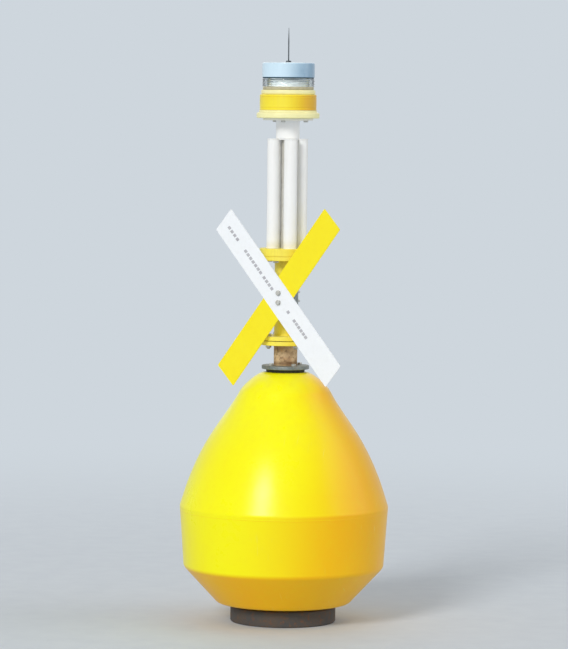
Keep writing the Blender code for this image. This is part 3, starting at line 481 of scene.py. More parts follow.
def scratchesMask(tree, place, given):
    lines = []
    for turn in ((0.2, 0.4, 0.7), (1.1, 0.3, 2.0)):
        thread = noiseOf(tree, stretched(tree, place, (60.0, 2.0, 2.0), turn), given["Scale"], 2.0)
        lines.append(fitRange(tree, thread, 0.70, 0.74))
    patch = patchOf(tree, place, given["Scale"], 2.0, 0.5, 0.50, 0.62)
    return product(tree, maths(tree, "MAXIMUM", *lines), patch)


def bandMask(tree, place, given):
    # between two levels, with a ragged edge
    stray = maths(tree, "SUBTRACT", noiseOf(tree, place, given["Scale"], 4.0, 0.6), 0.5)
    ragged = maths(tree, "ADD", partOf(tree, place, 2), product(tree, stray, given["Soft"]))
    rise = fitRange(tree, ragged, given["Low"], maths(tree, "ADD", given["Low"], given["Soft"]))
    fall = fitRange(tree, ragged, given["High"], maths(tree, "SUBTRACT", given["High"], given["Soft"]))
    return product(tree, rise, fall)


def spangleMask(tree, place, given):
    crystals = addNode(tree, "ShaderNodeTexVoronoi", {"Vector": place, "Scale": given["Scale"]})
    return partOf(tree, crystals.outputs["Color"], 0)


def grainHeight(tree, place, given):
    fine = product(tree, noiseOf(tree, place, given["Fine Scale"], 3.0), given["Fine Depth"])
    wave = product(tree, noiseOf(tree, place, given["Wave Scale"], 1.0), given["Wave Depth"])
    return maths(tree, "ADD", fine, wave)


effects = {
    "mottle": makeEffect("mottle", {"Scale": 10.0, "Low": 0.4, "High": 0.6}, mottleMask),
    "runs": makeEffect("water runs", {"Scale": 30.0, "Top": 1.0, "Reach": 0.3}, runsMask),
    "edges": makeEffect("edge wear", {"Radius": 0.002, "Break-up": 120.0}, edgesMask),
    "dust": makeEffect("settled dust", {"Scale": 30.0}, dustMask),
    # painted light: a lighter colour on the side that faces the key lamp
    "paintedLitSide": makeEffect("painted lit side", {"From": 0.0, "To": 0.6}, paintedLitSideMask),
    "scratches": makeEffect("scratches", {"Scale": 6.0}, scratchesMask),
    "band": makeEffect("level band", {"Low": 0.0, "High": 1.0, "Soft": 0.01, "Scale": 40.0}, bandMask),
    "spangle": makeEffect("spangle", {"Scale": 90.0}, spangleMask),
    "grain": makeEffect("surface grain", {
        "Fine Scale": 600.0, "Fine Depth": 0.00003, "Wave Scale": 20.0, "Wave Depth": 0.0003,
    }, grainHeight, "Height"),
}
finishes = {}  # by slot name, or by a name of their own where a slot has a second one


def placeEffect(tree, name, values):
    # values in the order of the effect's inputs
    group = addNode(tree, "ShaderNodeGroup", node_tree=effects[name])
    for socket, value in zip(group.inputs, values):
        socket.default_value = value
    return group.outputs[0]


def addFinish(key, name, colour, rough, grain, layers, plain=None):
    # colour and roughness start plain and take one layer after another
    material = bpy.data.materials.new(name)
    material.use_nodes = True
    material.diffuse_color = rgb(*colour)
    tree = material.node_tree
    shader = tree.nodes["Principled BSDF"]
    shade = rgb(*colour)
    for effect, values, layerColour, layerRough in layers:
        mask = placeEffect(tree, effect, values)
        shade = mixColours(tree, mask, shade, rgb(*layerColour))
        rough = mixValues(tree, mask, rough, layerRough)
    tree.links.new(shade, shader.inputs["Base Color"])
    tree.links.new(rough, shader.inputs["Roughness"])
    for socket, value in (plain or {}).items():
        shader.inputs[socket].default_value = value
    height = placeEffect(tree, "grain", grain)
    bump = addNode(tree, "ShaderNodeBump", {"Strength": 1.0, "Distance": 1.0, "Height": height})
    tree.links.new(bump.outputs[0], shader.inputs["Normal"])
    finishes[key] = material
    return tree, shader


# the finishes: key, name, colour, roughness, grain, then layers of an effect, its values, a colour and a
# roughness, and last what the shader's other sockets are set to

floatTop, collarTop, stubFoot = top("float_hull"), top("reflector_base"), top("float_top_plate")
adaptorTop, drumTop = top("lantern_adaptor"), top("lantern_body")
tubeFoot, tubeTop = levels("reflector_tube_1")

addFinish("float_yellow", "float yellow", (255, 190, 0), 0.30, (650, 0.00003, 24, 0.0005), [
    # painted light: lemon yellow on the side facing the key lamp, over a golden base colour that stands for the
    # shaded side
    ("paintedLitSide", (0.05, 0.80, 1), (255, 251, 0), 0.27),
    ("mottle", (3, 0.40, 0.66, 0.18), (255, 222, 0), 0.38),
    ("mottle", (42, 0.46, 0.70, 0.10), (246, 222, 24), 0.42),
    ("runs", (30, floatTop, 0.30, 0.18), (214, 176, 42), 0.52),
    ("scratches", (5, 0.35), (255, 243, 140), 0.60),
    ("dust", (22, 0.18), (222, 204, 120), 0.62),
], {"Specular IOR Level": 0.30})
addFinish("mast_yellow", "mast yellow", (246, 214, 40), 0.40, (420, 0.00003, 60, 0.0002), [
    # painted light: paler yellow on the side facing the key lamp
    ("paintedLitSide", (0, 0.75, 0.9), (255, 240, 88), 0.46),
    ("mottle", (24, 0.42, 0.66, 0.25), (248, 222, 60), 0.48),
    ("runs", (90, collarTop, 0.36, 0.32), (190, 152, 62), 0.55),
    ("edges", (0.0022, 150, 0.75), (142, 92, 48), 0.72),
    ("dust", (60, 0.30), (220, 206, 150), 0.70),
])
addFinish("board_yellow", "board yellow", (253, 234, 4), 0.38, (500, 0.00002, 30, 0.0004), [
    ("mottle", (9, 0.40, 0.68, 0.35), (254, 242, 24), 0.44),
    ("mottle", (55, 0.48, 0.70, 0.15), (242, 216, 16), 0.46),
    ("scratches", (9, 0.30), (252, 244, 150), 0.55),
    ("edges", (0.0016, 170, 0.60), (196, 190, 170), 0.50),
], {"Specular IOR Level": 0.35})
addFinish("board_white", "board white", (248, 250, 252), 0.36, (500, 0.00002, 30, 0.0004), [
    ("mottle", (8, 0.40, 0.70, 0.35), (240, 244, 247), 0.44),
    ("mottle", (60, 0.50, 0.72, 0.20), (226, 228, 224), 0.48),
    ("scratches", (9, 0.30), (206, 210, 212), 0.55),
    ("edges", (0.0016, 170, 0.60), (158, 160, 158), 0.50),
])
addFinish("marking_grey", "marking grey", (176, 174, 180), 0.45, (700, 0.00002, 60, 0.0001), [
    ("mottle", (70, 0.38, 0.62, 0.55), (204, 206, 208), 0.50),
    ("scratches", (16, 0.50), (222, 224, 226), 0.55),
])
addFinish("tube_white", "tube white", (250, 250, 248), 0.34, (500, 0.00002, 40, 0.0002), [
    ("mottle", (12, 0.42, 0.68, 0.30), (246, 244, 238), 0.42),
    ("runs", (110, tubeTop, 0.40, 0.22), (214, 206, 188), 0.50),
    ("band", (tubeFoot, tubeFoot + 0.040, 0.020, 60, 0.20), (214, 202, 150), 0.55),
])
addFinish("paint_white", "white paint", (250, 250, 248), 0.40, (450, 0.00003, 60, 0.0002), [
    ("mottle", (22, 0.42, 0.68, 0.25), (238, 236, 230), 0.48),
    ("runs", (90, adaptorTop, 0.09, 0.22), (206, 196, 174), 0.52),
    ("edges", (0.0018, 160, 0.55), (150, 118, 88), 0.65),
])
print("paints made")

addFinish("housing_yellow", "housing yellow", (238, 184, 34), 0.34, (800, 0.00002, 36, 0.0002), [
    # painted light: lemon yellow on the side facing the key lamp, over an orange base colour that stands for
    # the shaded side
    ("paintedLitSide", (-0.1, 0.60, 1), (254, 234, 58), 0.38),
    ("mottle", (16, 0.42, 0.68, 0.25), (244, 204, 44), 0.42),
    ("runs", (80, drumTop, 0.08, 0.22), (214, 188, 92), 0.46),
    ("scratches", (14, 0.30), (250, 226, 120), 0.50),
], {"Specular IOR Level": 0.4})
addFinish("housing_cream", "housing cream", (255, 249, 184), 0.36, (800, 0.00002, 40, 0.0002), [
    ("mottle", (26, 0.42, 0.68, 0.35), (240, 230, 170), 0.42),
    ("edges", (0.0015, 160, 0.30), (226, 216, 176), 0.55),
    ("dust", (60, 0.35), (214, 204, 166), 0.66),
])
addFinish("cap_pale", "cap pale blue", (148, 180, 204), 0.22, (900, 0.00001, 40, 0.0002), [
    # painted light: pale blue on the side facing the key lamp, over a grey-blue base colour that stands for the
    # shaded side
    ("paintedLitSide", (0, 0.72, 1), (214, 238, 252), 0.20),
    ("mottle", (14, 0.42, 0.70, 0.30), (206, 232, 244), 0.26),
    ("scratches", (14, 0.40), (232, 242, 250), 0.40),
    ("dust", (50, 0.25), (206, 212, 212), 0.55),
], {"Coat Weight": 0.3, "Coat Roughness": 0.10})
addFinish("led_white", "lamp drum white", (252, 254, 254), 0.30, (600, 0.00002, 40, 0.0001), [
    ("mottle", (30, 0.42, 0.68, 0.25), (236, 244, 244), 0.36),
])
addFinish("rubber_black", "black rubber", (46, 46, 44), 0.72, (700, 0.00006, 60, 0.0003), [
    ("mottle", (50, 0.42, 0.66, 0.50), (72, 68, 58), 0.82),
    ("dust", (80, 0.40), (130, 120, 92), 0.90),
])
addFinish("cap_seal", "cap seal", (34, 66, 82), 0.50, (700, 0.00004, 60, 0.0002), [
    ("mottle", (60, 0.42, 0.66, 0.40), (64, 92, 104), 0.65),
])
addFinish("seal_brown", "lens seal brown", (196, 188, 156), 0.62, (700, 0.00005, 60, 0.0003), [
    ("mottle", (60, 0.40, 0.66, 0.50), (158, 148, 116), 0.75),
    ("dust", (80, 0.30), (212, 202, 168), 0.85),
])
addFinish("battery_wrap", "battery wrap", (38, 74, 134), 0.42, (500, 0.00002, 60, 0.0003), [
    ("mottle", (40, 0.42, 0.68, 0.35), (30, 58, 108), 0.52),
    ("edges", (0.002, 120, 0.5), (96, 124, 168), 0.60),
])
addFinish("circuit", "circuit green", (28, 96, 52), 0.40, (900, 0.00003, 200, 0.0001), [
    ("spangle", (260, 0.45), (52, 124, 68), 0.48),
    ("mottle", (300, 0.60, 0.64, 0.8), (190, 186, 170), 0.30),
])
print("mouldings made")

addFinish("pipe_rust", "rusty pipe", (216, 188, 148), 0.72, (260, 0.00022, 70, 0.0006), [
    ("mottle", (26, 0.40, 0.62, 0.70), (146, 108, 74), 0.84),
    ("mottle", (75, 0.52, 0.66, 0.60), (96, 62, 38), 0.88),
    ("mottle", (120, 0.56, 0.68, 0.50), (204, 156, 100), 0.80),
    ("band", (stubFoot - 0.004, stubFoot + 0.020, 0.012, 90, 0.55), (78, 52, 28), 0.90),
], {"Specular IOR Level": 0.35})
addFinish("galvanised", "galvanised steel", (132, 138, 134), 0.46, (300, 0.00006, 60, 0.0002), [
    ("spangle", (130, 0.45), (170, 176, 172), 0.38),
    ("mottle", (34, 0.42, 0.68, 0.55), (96, 104, 100), 0.62),
    ("runs", (90, stubFoot + 0.002, 0.030, 0.75), (138, 104, 48), 0.72),
    ("edges", (0.0018, 110, 0.70), (126, 90, 52), 0.74),
    ("dust", (70, 0.35), (150, 142, 112), 0.78),
], {"Metallic": 0.75})
addFinish("pole_zinc", "dull zinc pole", (206, 204, 196), 0.55, (300, 0.00006, 60, 0.0002), [
    ("spangle", (120, 0.35), (222, 220, 212), 0.48),
    ("mottle", (30, 0.42, 0.68, 0.45), (176, 170, 156), 0.66),
], {"Metallic": 0.15})
addFinish("bolt_zinc", "zinc bolts", (200, 200, 194), 0.36, (500, 0.00004, 90, 0.0001), [
    ("mottle", (130, 0.42, 0.64, 0.50), (160, 156, 144), 0.52),
    ("mottle", (210, 0.58, 0.68, 0.45), (150, 108, 66), 0.74),
], {"Metallic": 0.75})
addFinish("ballast_iron", "cast ballast", (74, 72, 70), 0.70, (240, 0.00035, 50, 0.0012), [
    ("mottle", (18, 0.42, 0.66, 0.60), (94, 78, 64), 0.80),
    ("mottle", (60, 0.54, 0.68, 0.60), (120, 78, 50), 0.86),
    ("edges", (0.004, 70, 0.70), (124, 96, 74), 0.78),
    ("dust", (40, 0.30), (146, 134, 110), 0.88),
], {"Specular IOR Level": 0.4})
addFinish("spike_steel", "spike steel", (86, 92, 96), 0.34, (600, 0.00003, 90, 0.0001), [
    ("mottle", (120, 0.42, 0.66, 0.50), (66, 68, 68), 0.50),
], {"Metallic": 0.85})
addFinish("foil", "reflector foil", (214, 216, 218), 0.22, (200, 0.00005, 60, 0.0004), [
    ("mottle", (50, 0.42, 0.68, 0.4), (190, 194, 198), 0.34),
], {"Metallic": 1})
print("metals made")


def makeLensClear():
    # lamp rays pass straight through, so that what is behind the lens is lit
    tree, shader = addFinish("lens_clear", "lens clear", (250, 254, 255), 0.04, (500, 0.00001, 60, 0.00005), [
        ("mottle", (40, 0.44, 0.70, 0.30), (240, 251, 253), 0.08),
        ("dust", (60, 0.20), (226, 236, 238), 0.22),
    ], {"Transmission Weight": 1, "IOR": 1.46})
    lamps = addNode(tree, "ShaderNodeLightPath").outputs["Is Shadow Ray"]
    clear = addNode(tree, "ShaderNodeBsdfTransparent", {"Color": rgb(252, 254, 254)})
    mixShaders(tree, lamps, shader, clear, "Material Output")


def makeSolarCell():
    # fine silver fingers across each cell, with two busbars over them
    lines = ((0, 0.0022, 0.00018), (1, 0.0121, 0.0010))  # axis, pitch and width
    tree, shader = addFinish("solar", "solar cell", (16, 28, 66), 0.14, (400, 0.00001, 60, 0.00005), [
        ("spangle", (160, 0.45), (30, 50, 104), 0.18),
        ("dust", (30, 0.18), (120, 124, 124), 0.50),
    ], {"Coat Weight": 0.6, "Coat Roughness": 0.05})
    place = objectPlace(tree)
    wires = []
    for axis, pitch, width in lines:
        along = maths(tree, "PINGPONG", partOf(tree, place, axis), pitch / 2)
        wires.append(maths(tree, "LESS_THAN", along, width / 2))
    wire = product(tree, maths(tree, "MAXIMUM", *wires), 0.8)
    below = shader.inputs["Base Color"].links[0].from_socket
    tree.links.new(mixColours(tree, wire, below, rgb(190, 196, 204)), shader.inputs["Base Color"])


makeLensClear()
makeSolarCell()


# under the float

def makeBallast():
    sizes = {
        "edge": 0.006, "hole": 0.220, "pocketDepth": 0.0154, "pocketRadius": 0.0196,
        "boltHoleRadius": 0.0083, "cutPast": 0.01,
    }
    low, high = levels("ballast_ring")
    inner, outer, edge = sizes["hole"] / 2, halfWidth("ballast_ring"), sizes["edge"]
    outline = roundCorners([(inner, low, edge), (outer, low, edge), (outer, high, edge), (inner, high, edge)])
    pocketTop = low + sizes["pocketDepth"]
    pockets = addRods(bmesh.new(), numbered("ballast_bolt", 4), [
        (low - sizes["cutPast"], sizes["pocketRadius"]), (pocketTop, sizes["pocketRadius"]),
        (pocketTop, sizes["boltHoleRadius"]), (high + sizes["cutPast"], sizes["boltHoleRadius"]),
    ])
    uneven = {"Unevenness": 0.0012, "Unevenness Scale": 14.0, "Seed": 4}
    turnPiece("ballast_ring", outline, "ballast_iron", 128, holes=pockets, values=uneven)


def plateMesh(name, outline, thickness, edge, hole=()):
    # a flat plate in the XZ plane, its thickness along Y, with a round hole if asked
    sharpFrom = 1.2  # radians, so that the arcs' own edges stay as they are
    shape = bmesh.new()

    def addLoop(points):
        loop = [shape.verts.new((x, -thickness / 2, z)) for x, z in points]
        return loop, [shape.edges.new((loop[i - 1], loop[i])) for i in range(len(loop))]

    rim, rimEdges = addLoop(outline)
    if hole:
        _, holeEdges = addLoop(hole)
        bmesh.ops.triangle_fill(shape, edges=rimEdges + holeEdges, use_beauty=True, use_dissolve=False)
    else:
        shape.faces.new(rim)
    made = bmesh.ops.extrude_face_region(shape, geom=list(shape.faces), use_keep_orig=True)
    moved = [item for item in made["geom"] if isinstance(item, bmesh.types.BMVert)]
    bmesh.ops.translate(shape, verts=moved, vec=(0, thickness, 0))
    bmesh.ops.recalc_face_normals(shape, faces=shape.faces)
    joined = [item for item in shape.edges if len(item.link_faces) == 2]
    sharp = [item for item in joined if item.calc_face_angle(0) > sharpFrom]
    bmesh.ops.bevel(shape, geom=sharp, offset=edge, segments=2, profile=0.5, affect="EDGES")
    return meshOf(shape, name)


def makeMooringEye():
    sizes = {"hole": 0.028, "rim": 0.012, "edge": 0.0012, "arcSteps": 24, "holeSides": 48}
    low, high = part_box("mooring_eye")
    lobe = sizes["hole"] / 2 + sizes["rim"]
    centre = low.z + lobe
    outline = [(low.x, high.z)]
    for step in range(sizes["arcSteps"] + 1):
        angle = math.pi * (1 + step / sizes["arcSteps"])
        outline.append((lobe * math.cos(angle), centre + lobe * math.sin(angle)))
    outline.append((high.x, high.z))
    hole = []
    for index in range(sizes["holeSides"]):
        angle = math.tau * index / sizes["holeSides"]
        hole.append((sizes["hole"] / 2 * math.cos(angle), centre + sizes["hole"] / 2 * math.sin(angle)))
    mesh = plateMesh("mooring_eye", outline, high.y - low.y, sizes["edge"], hole)
    dressNode("mooring_eye", mesh, "pipe_rust")


def makeStandPipe():
    sizes = {"pipe": 0.0889, "wall": 0.0032, "plateThickness": 0.010, "footEdge": 0.0008}
    low, high = levels("stand_pipe")
    outer = sizes["pipe"] / 2
    inner = outer - sizes["wall"]
    plate, plateTop = halfWidth("stand_pipe"), low + sizes["plateThickness"]
    turnPiece("stand_pipe", roundCorners([
        (inner, low, sizes["footEdge"]), (plate, low, soft), (plate, plateTop, soft),
        (outer, plateTop, 0), (outer, high, crisp), (inner, high, crisp),
    ]), "pipe_rust")


# the float

def curveBetween(start, end, run, rise, handles, steps):
    # the handles' reach is given in shares of the run and the rise
    first, last = [Vector((across * run, upwards * rise)) for across, upwards in handles]
    return interpolate_bezier(start, start + first, end + last, end, steps + 1)


def makeFloat():
    sizes = {
        "diameter": 0.792, "bottomDiameter": 0.500, "chineHeight": 0.140, "chineRadius": 0.030,
        "creaseHeight": 0.371, "creaseRadius": 0.035, "bandTaper": 0.016,
        "shoulderRadius": 0.172, "shoulderDrop": 0.074, "topDiameter": 0.156, "bore": 0.0919,
        "boreFoot": 0.004, "boreHead": 0.002, "coneHandles": ((-0.34, 0.60), (0.28, -0.27)),
        "crownHandles": ((-0.16, 0.38), (0.25, 0)), "coneSteps": 40, "crownSteps": 20, "coneSkipped": 4,
        "seamBelowCrease": 0.015, "seamWidth": 0.004, "seamProud": 0.0005,
        # the seam's section in shares of its width and its height
        "seam": ((-0.7, 0), (-0.5, 0), (-0.28, 0.8), (0, 1), (0.28, 0.8), (0.5, 0), (0.7, 0)),
    }
    low, high = levels("float_hull")
    crease = Vector((sizes["diameter"] / 2, low + sizes["creaseHeight"]))
    shoulder = Vector((sizes["shoulderRadius"], high - sizes["shoulderDrop"]))
    rim = Vector((sizes["topDiameter"] / 2, high))
    coneSize = crease.x - shoulder.x, shoulder.y - crease.y
    crownSize = shoulder.x - rim.x, sizes["shoulderDrop"]
    cone = curveBetween(crease, shoulder, *coneSize, sizes["coneHandles"], sizes["coneSteps"])
    crown = curveBetween(shoulder, rim, *crownSize, sizes["crownHandles"], sizes["crownSteps"])
    chine = Vector((crease.x - sizes["bandTaper"], low + sizes["chineHeight"]))
    bandUp = (crease - chine).normalized()
    seam = crease - bandUp * sizes["seamBelowCrease"]
    outwards = Vector((bandUp.y, -bandUp.x))
    ridge = []
    for along, proud in sizes["seam"]:
        point = seam + bandUp * along * sizes["seamWidth"] + outwards * proud * sizes["seamProud"]
        ridge.append((*point, 0))
    bore, head, skipped = sizes["bore"] / 2, sizes["boreHead"], sizes["coneSkipped"]
    lower = roundCorners([
        (bore, low, sizes["boreFoot"]), (sizes["bottomDiameter"] / 2, low, sizes["chineRadius"]),
        (*chine, sizes["chineRadius"]), *ridge, (*crease, sizes["creaseRadius"]), (*cone[skipped], 0),
    ], 9)
    upper = [tuple(point) for point in cone[skipped + 1:] + crown[1:]]
    uneven = {"Unevenness": 0.0016, "Unevenness Scale": 5.0, "Seed": 3}
    outline = lower + upper + [(bore + head, high), (bore, high - head)]
    turnPiece("float_hull", outline, "float_yellow", 160, values=uneven)
    print("float turned")


# the pad, plate and flanged mast

def makeMastPieces():
    sizes = {
        "pipe": 0.0889, "wall": 0.0032, "padEdge": 0.003, "plateEdge": 0.0024, "flangeThickness": 0.016,
        "flangeEdge": 0.0018, "weld": 0.004, "collarEdge": 0.0022, "pole": 0.0483,
        "poleWall": 0.0029, "tube": 0.050, "socketDepth": 0.008, "cutPast": 0.01,
    }
    pipe = sizes["pipe"] / 2
    bore, inner, edge = pipe + gap, pipe - sizes["wall"], sizes["flangeEdge"]
    turnRing("float_pad", bore, sizes["padEdge"], "rubber_black")
    turnRing("float_top_plate", bore, sizes["plateEdge"], "galvanised")
    turnRing("stand_flange", bore, edge, "mast_yellow")
    turnRing("flange_gasket", inner, crisp, "rubber_black")

    low, high = levels("mast_sleeve")
    flange, collar = halfWidth("stand_flange"), halfWidth("mast_sleeve")
    footTop, headFoot = low + sizes["flangeThickness"], high - sizes["flangeThickness"]
    turnPiece("mast_sleeve", roundCorners([
        (inner, low, crisp), (flange, low, edge), (flange, footTop, edge), (pipe, footTop, sizes["weld"]),
        (pipe, headFoot, sizes["weld"]), (collar, headFoot, edge), (collar, high, edge), (inner, high, crisp),
    ]), "mast_yellow")

    pole, socket = sizes["pole"] / 2, sizes["tube"] / 2 + gap
    plateTop = top("reflector_base")
    sockets = addRods(bmesh.new(), numbered("reflector_tube", 4), [
        (plateTop - sizes["socketDepth"], socket), (plateTop + sizes["cutPast"], socket),
    ])
    turnRing("reflector_base", pole + gap, sizes["collarEdge"], "mast_yellow", holes=sockets)
    outline = ringSection(pole - sizes["poleWall"], pole, *levels("mast_pole"), crisp)
    turnPiece("mast_pole", outline, "galvanised", 64, "pole_zinc")
    print("mast turned")


def makeWelds():
    # a stacked bead all round each welded joint
    sizes = {
        "long": 0.0060, "wide": 0.0052, "pitch": 0.0034, "proud": 0.0006, "pipe": 0.0889, "sleeve": 0.089,
        "flange": 0.016, "lanternPlate": 0.008,
    }
    pipe = sizes["pipe"] / 2
    for name, radius, level, slotName in (
        ("stand_flange_weld", pipe, bottom("stand_flange"), "pipe_rust"),
        ("mast_foot_weld", pipe, bottom("mast_sleeve") + sizes["flange"], "mast_yellow"),
        ("mast_head_weld", pipe, top("mast_sleeve") - sizes["flange"], "mast_yellow"),
        ("adaptor_weld", sizes["sleeve"] / 2, top("lantern_adaptor") - sizes["lanternPlate"], "paint_white"),
    ):
        bead = bmesh.new()
        bmesh.ops.create_uvsphere(bead, u_segments=10, v_segments=6, radius=0.5)
        bmesh.ops.scale(bead, vec=(sizes["wide"], sizes["long"], sizes["wide"]), verts=bead.verts)
        count, reach = round(math.tau * radius / sizes["pitch"]), radius + sizes["proud"]
        spots = []
        for index in range(count):
            angle = math.tau * index / count
            spots.append((math.sin(angle) * reach, -math.cos(angle) * reach, level))
        copyPiece(name, meshOf(bead, name), spots, slotName, sharpAngle=80, values={
            "Face Outwards": 1.0, "Size Spread": 0.16, "Seed": 5,
        })


# reflectors

def makeReflectors():
    sizes = {"wall": 0.002, "edge": 0.0008, "lip": 0.0004, "hub": 0.089, "pole": 0.0483, "plug": 0.012}
    tubes = numbered("reflector_tube", 4)
    radius = halfWidth(tubes[0])
    inner = radius - sizes["wall"]
    one = turned("tube_one", ringSection(inner, radius, *levels(tubes[0]), sizes["edge"]), 48)
    spots = [Vector((middleOf(tube).x, middleOf(tube).y, 0)) for tube in tubes]
    copyPiece("reflector_tubes_finished", one.data, spots, "tube_white", tubes)
    bpy.data.objects.remove(one)

    low, high = top(tubes[0]) + gap, top("tube_top_spider")
    hubIn, hubOut = sizes["pole"] / 2 + gap, sizes["hub"] / 2
    lobe, plug, plugLow = radius + sizes["lip"], inner - gap, low - sizes["plug"]
    hub = turned("spider_hub", [(hubIn, low), (hubOut, low), (hubOut, high), (hubIn, high)], 96)
    for spot in spots:
        disc = turned("spider_lobe", [
            (0, plugLow), (plug, plugLow), (plug, low), (lobe, low), (lobe, high), (0, high),
        ], 48)
        disc.data.transform(Matrix.Translation(spot))
        for item in (hub, disc):
            outwardNormals(item.data)
        applyBoolean(hub, "UNION", disc)
    spider = hub.data
    bpy.data.objects.remove(hub)
    dressNode("tube_top_spider", spider, "paint_white")
    print("reflectors made")


# the lantern

def makeAdaptor():
    sizes = {"pole": 0.0483, "sleeve": 0.089, "plateThickness": 0.008, "weld": 0.0035, "plateEdge": 0.0012}
    low, high = levels("lantern_adaptor")
    bore, sleeve = sizes["pole"] / 2 + gap, sizes["sleeve"] / 2
    plate, plateLow, edge = halfWidth("lantern_adaptor"), high - sizes["plateThickness"], sizes["plateEdge"]
    turnPiece("lantern_adaptor", roundCorners([
        (bore, low, fine), (sleeve, low, soft), (sleeve, plateLow, sizes["weld"]),
        (plate, plateLow, edge), (plate, high, edge), (bore, high, fine),
    ]), "paint_white")


def makeLanternBase():
    sizes = {
        "drum": 0.214, "wall": 0.010, "floor": 0.016, "cableHole": 0.016, "footEdge": 0.004,
        "lipHeight": 0.019, "lipEdge": 0.0065, "lipSlope": 0.004, "neckStep": 0.002, "neckEdge": 0.0015,
    }
    low, high = levels("lantern_base")
    cable, outer = sizes["cableHole"] / 2, halfWidth("lantern_base")
    neck, well = sizes["drum"] / 2 + sizes["neckStep"], sizes["drum"] / 2 - sizes["wall"]
    lipTop, floorTop = low + sizes["lipHeight"], low + sizes["floor"]
    turnPiece("lantern_base", roundCorners([
        (cable, low, fine), (outer, low, sizes["footEdge"]), (outer, lipTop, sizes["lipEdge"]),
        (neck, lipTop + sizes["lipSlope"], sizes["neckEdge"]), (neck, high, fine), (well, high, crisp),
        (well, floorTop, soft), (cable, floorTop, fine),
    ]), "housing_cream", 128)


def groovesAt(low, high, shares, section, edge):
    # the section's (radius, height) points, repeated at shares of the height
    return [(radius, low + (high - low) * share + above, edge) for share in shares for radius, above in section]


def makeLanternBody():
    # the drum has a shallow moulded groove near its foot and another near its top
    sizes = {
        "drum": 0.214, "wall": 0.004, "ledge": 0.014, "grooveDepth": 0.0012, "grooveWidth": 0.0024,
        "grooveFloor": 0.4, "grooveEdge": 0.0003, "grooveShares": (0.16, 0.84), "edge": 0.004,
        "ledgeEdge": 0.0015,
    }
    low, high = levels("lantern_body")
    outer = sizes["drum"] / 2
    inside = outer - sizes["wall"]
    ledge, ledgeLow = inside - sizes["ledge"], high - sizes["wall"]
    floor, half = outer - sizes["grooveDepth"], sizes["grooveWidth"] / 2
    near = half * sizes["grooveFloor"]
    section = ((outer, -half), (floor, -near), (floor, near), (outer, half))
    grooves = groovesAt(low, high, sizes["grooveShares"], section, sizes["grooveEdge"])
    turnPiece("lantern_body", roundCorners([
        (inside, low, crisp), (outer, low, fine), *grooves, (outer, high, sizes["edge"]),
        (ledge, high, crisp), (ledge, ledgeLow, crisp), (inside, ledgeLow, sizes["ledgeEdge"]),
    ], 4), "housing_yellow", 128)


def makeLanternDeck():
    sizes = {"cableHole": 0.016, "edge": 0.005, "sealWidth": 0.008, "sealEdge": 0.003}
    turnRing("lens_deck", sizes["cableHole"] / 2, sizes["edge"], "housing_cream", 128)
    turnRing("lens_seal", halfWidth("lens_seal") - sizes["sealWidth"], sizes["sealEdge"], "seal_brown", 128)


def makeLampDrum():
    sizes = {"cableHole": 0.016, "groove": 0.0022, "grooveShares": (0.34, 0.56, 0.78), "grooveEdge": 0.0004}
    low, high = levels("led_drum")
    cable, radius, half = sizes["cableHole"] / 2, halfWidth("led_drum"), sizes["groove"] / 2
    section = ((radius, -half), (radius - half, 0), (radius, half))
    grooves = groovesAt(low, high, sizes["grooveShares"], section, sizes["grooveEdge"])
    turnPiece("led_drum", roundCorners([
        (cable, low, crisp), (radius, low, soft), *grooves, (radius, high, soft), (cable, high, crisp),
    ], 3), "led_white")


def makeLens():
    sizes = {"wall": 0.006, "ribCount": 5, "ribDepth": 0.002, "ribSteps": 8, "sealEdge": 0.0012}
    low, high = levels("lens")
    outer = halfWidth("lens")
    inner = outer - sizes["wall"]
    turnRing("cap_seal", inner, sizes["sealEdge"], "rubber_black", 128, finish="cap_seal")
    pitch = (high - low) / sizes["ribCount"]
    outline = [(inner, low)]
    for rib in range(sizes["ribCount"]):
        for step in range(sizes["ribSteps"]):
            share = step / sizes["ribSteps"]
            hollow = 1 - math.sin(math.pi * share)
            outline.append((outer - sizes["ribDepth"] * hollow, low + pitch * (rib + share)))
    outline += [(outer - sizes["ribDepth"], high), (inner, high)]
    turnPiece("lens", outline, "lens_clear", 128)


def boxShape(length, depth, height):
    shape = bmesh.new()
    bmesh.ops.create_cube(shape, size=1.0)
    bmesh.ops.scale(shape, vec=(length, depth, height), verts=shape.verts)
    return shape


def makeCap():
    sizes = {
        "wall": 0.004, "rimEdge": 0.0008, "foot": 0.0015, "edge": 0.009, "panel": 0.178, "seatDepth": 0.004,
        "shank": 0.0066,
    }
    low, high = levels("lantern_cap")
    outer = halfWidth("lantern_cap")
    inner = outer - sizes["wall"]
    seat, seatLevel = sizes["panel"] / 2 + gap, high - sizes["seatDepth"]
    shank, ceiling = sizes["shank"] / 2, seatLevel - sizes["wall"]
    turnPiece("lantern_cap", roundCorners([
        (inner, low, sizes["rimEdge"]), (outer, low, sizes["foot"]), (outer, high, sizes["edge"]),
        (seat, high, crisp), (seat, seatLevel, 0), (shank, seatLevel, 0), (shank, ceiling, 0),
        (inner, ceiling, soft),
    ], 7), "cap_pale", 128)


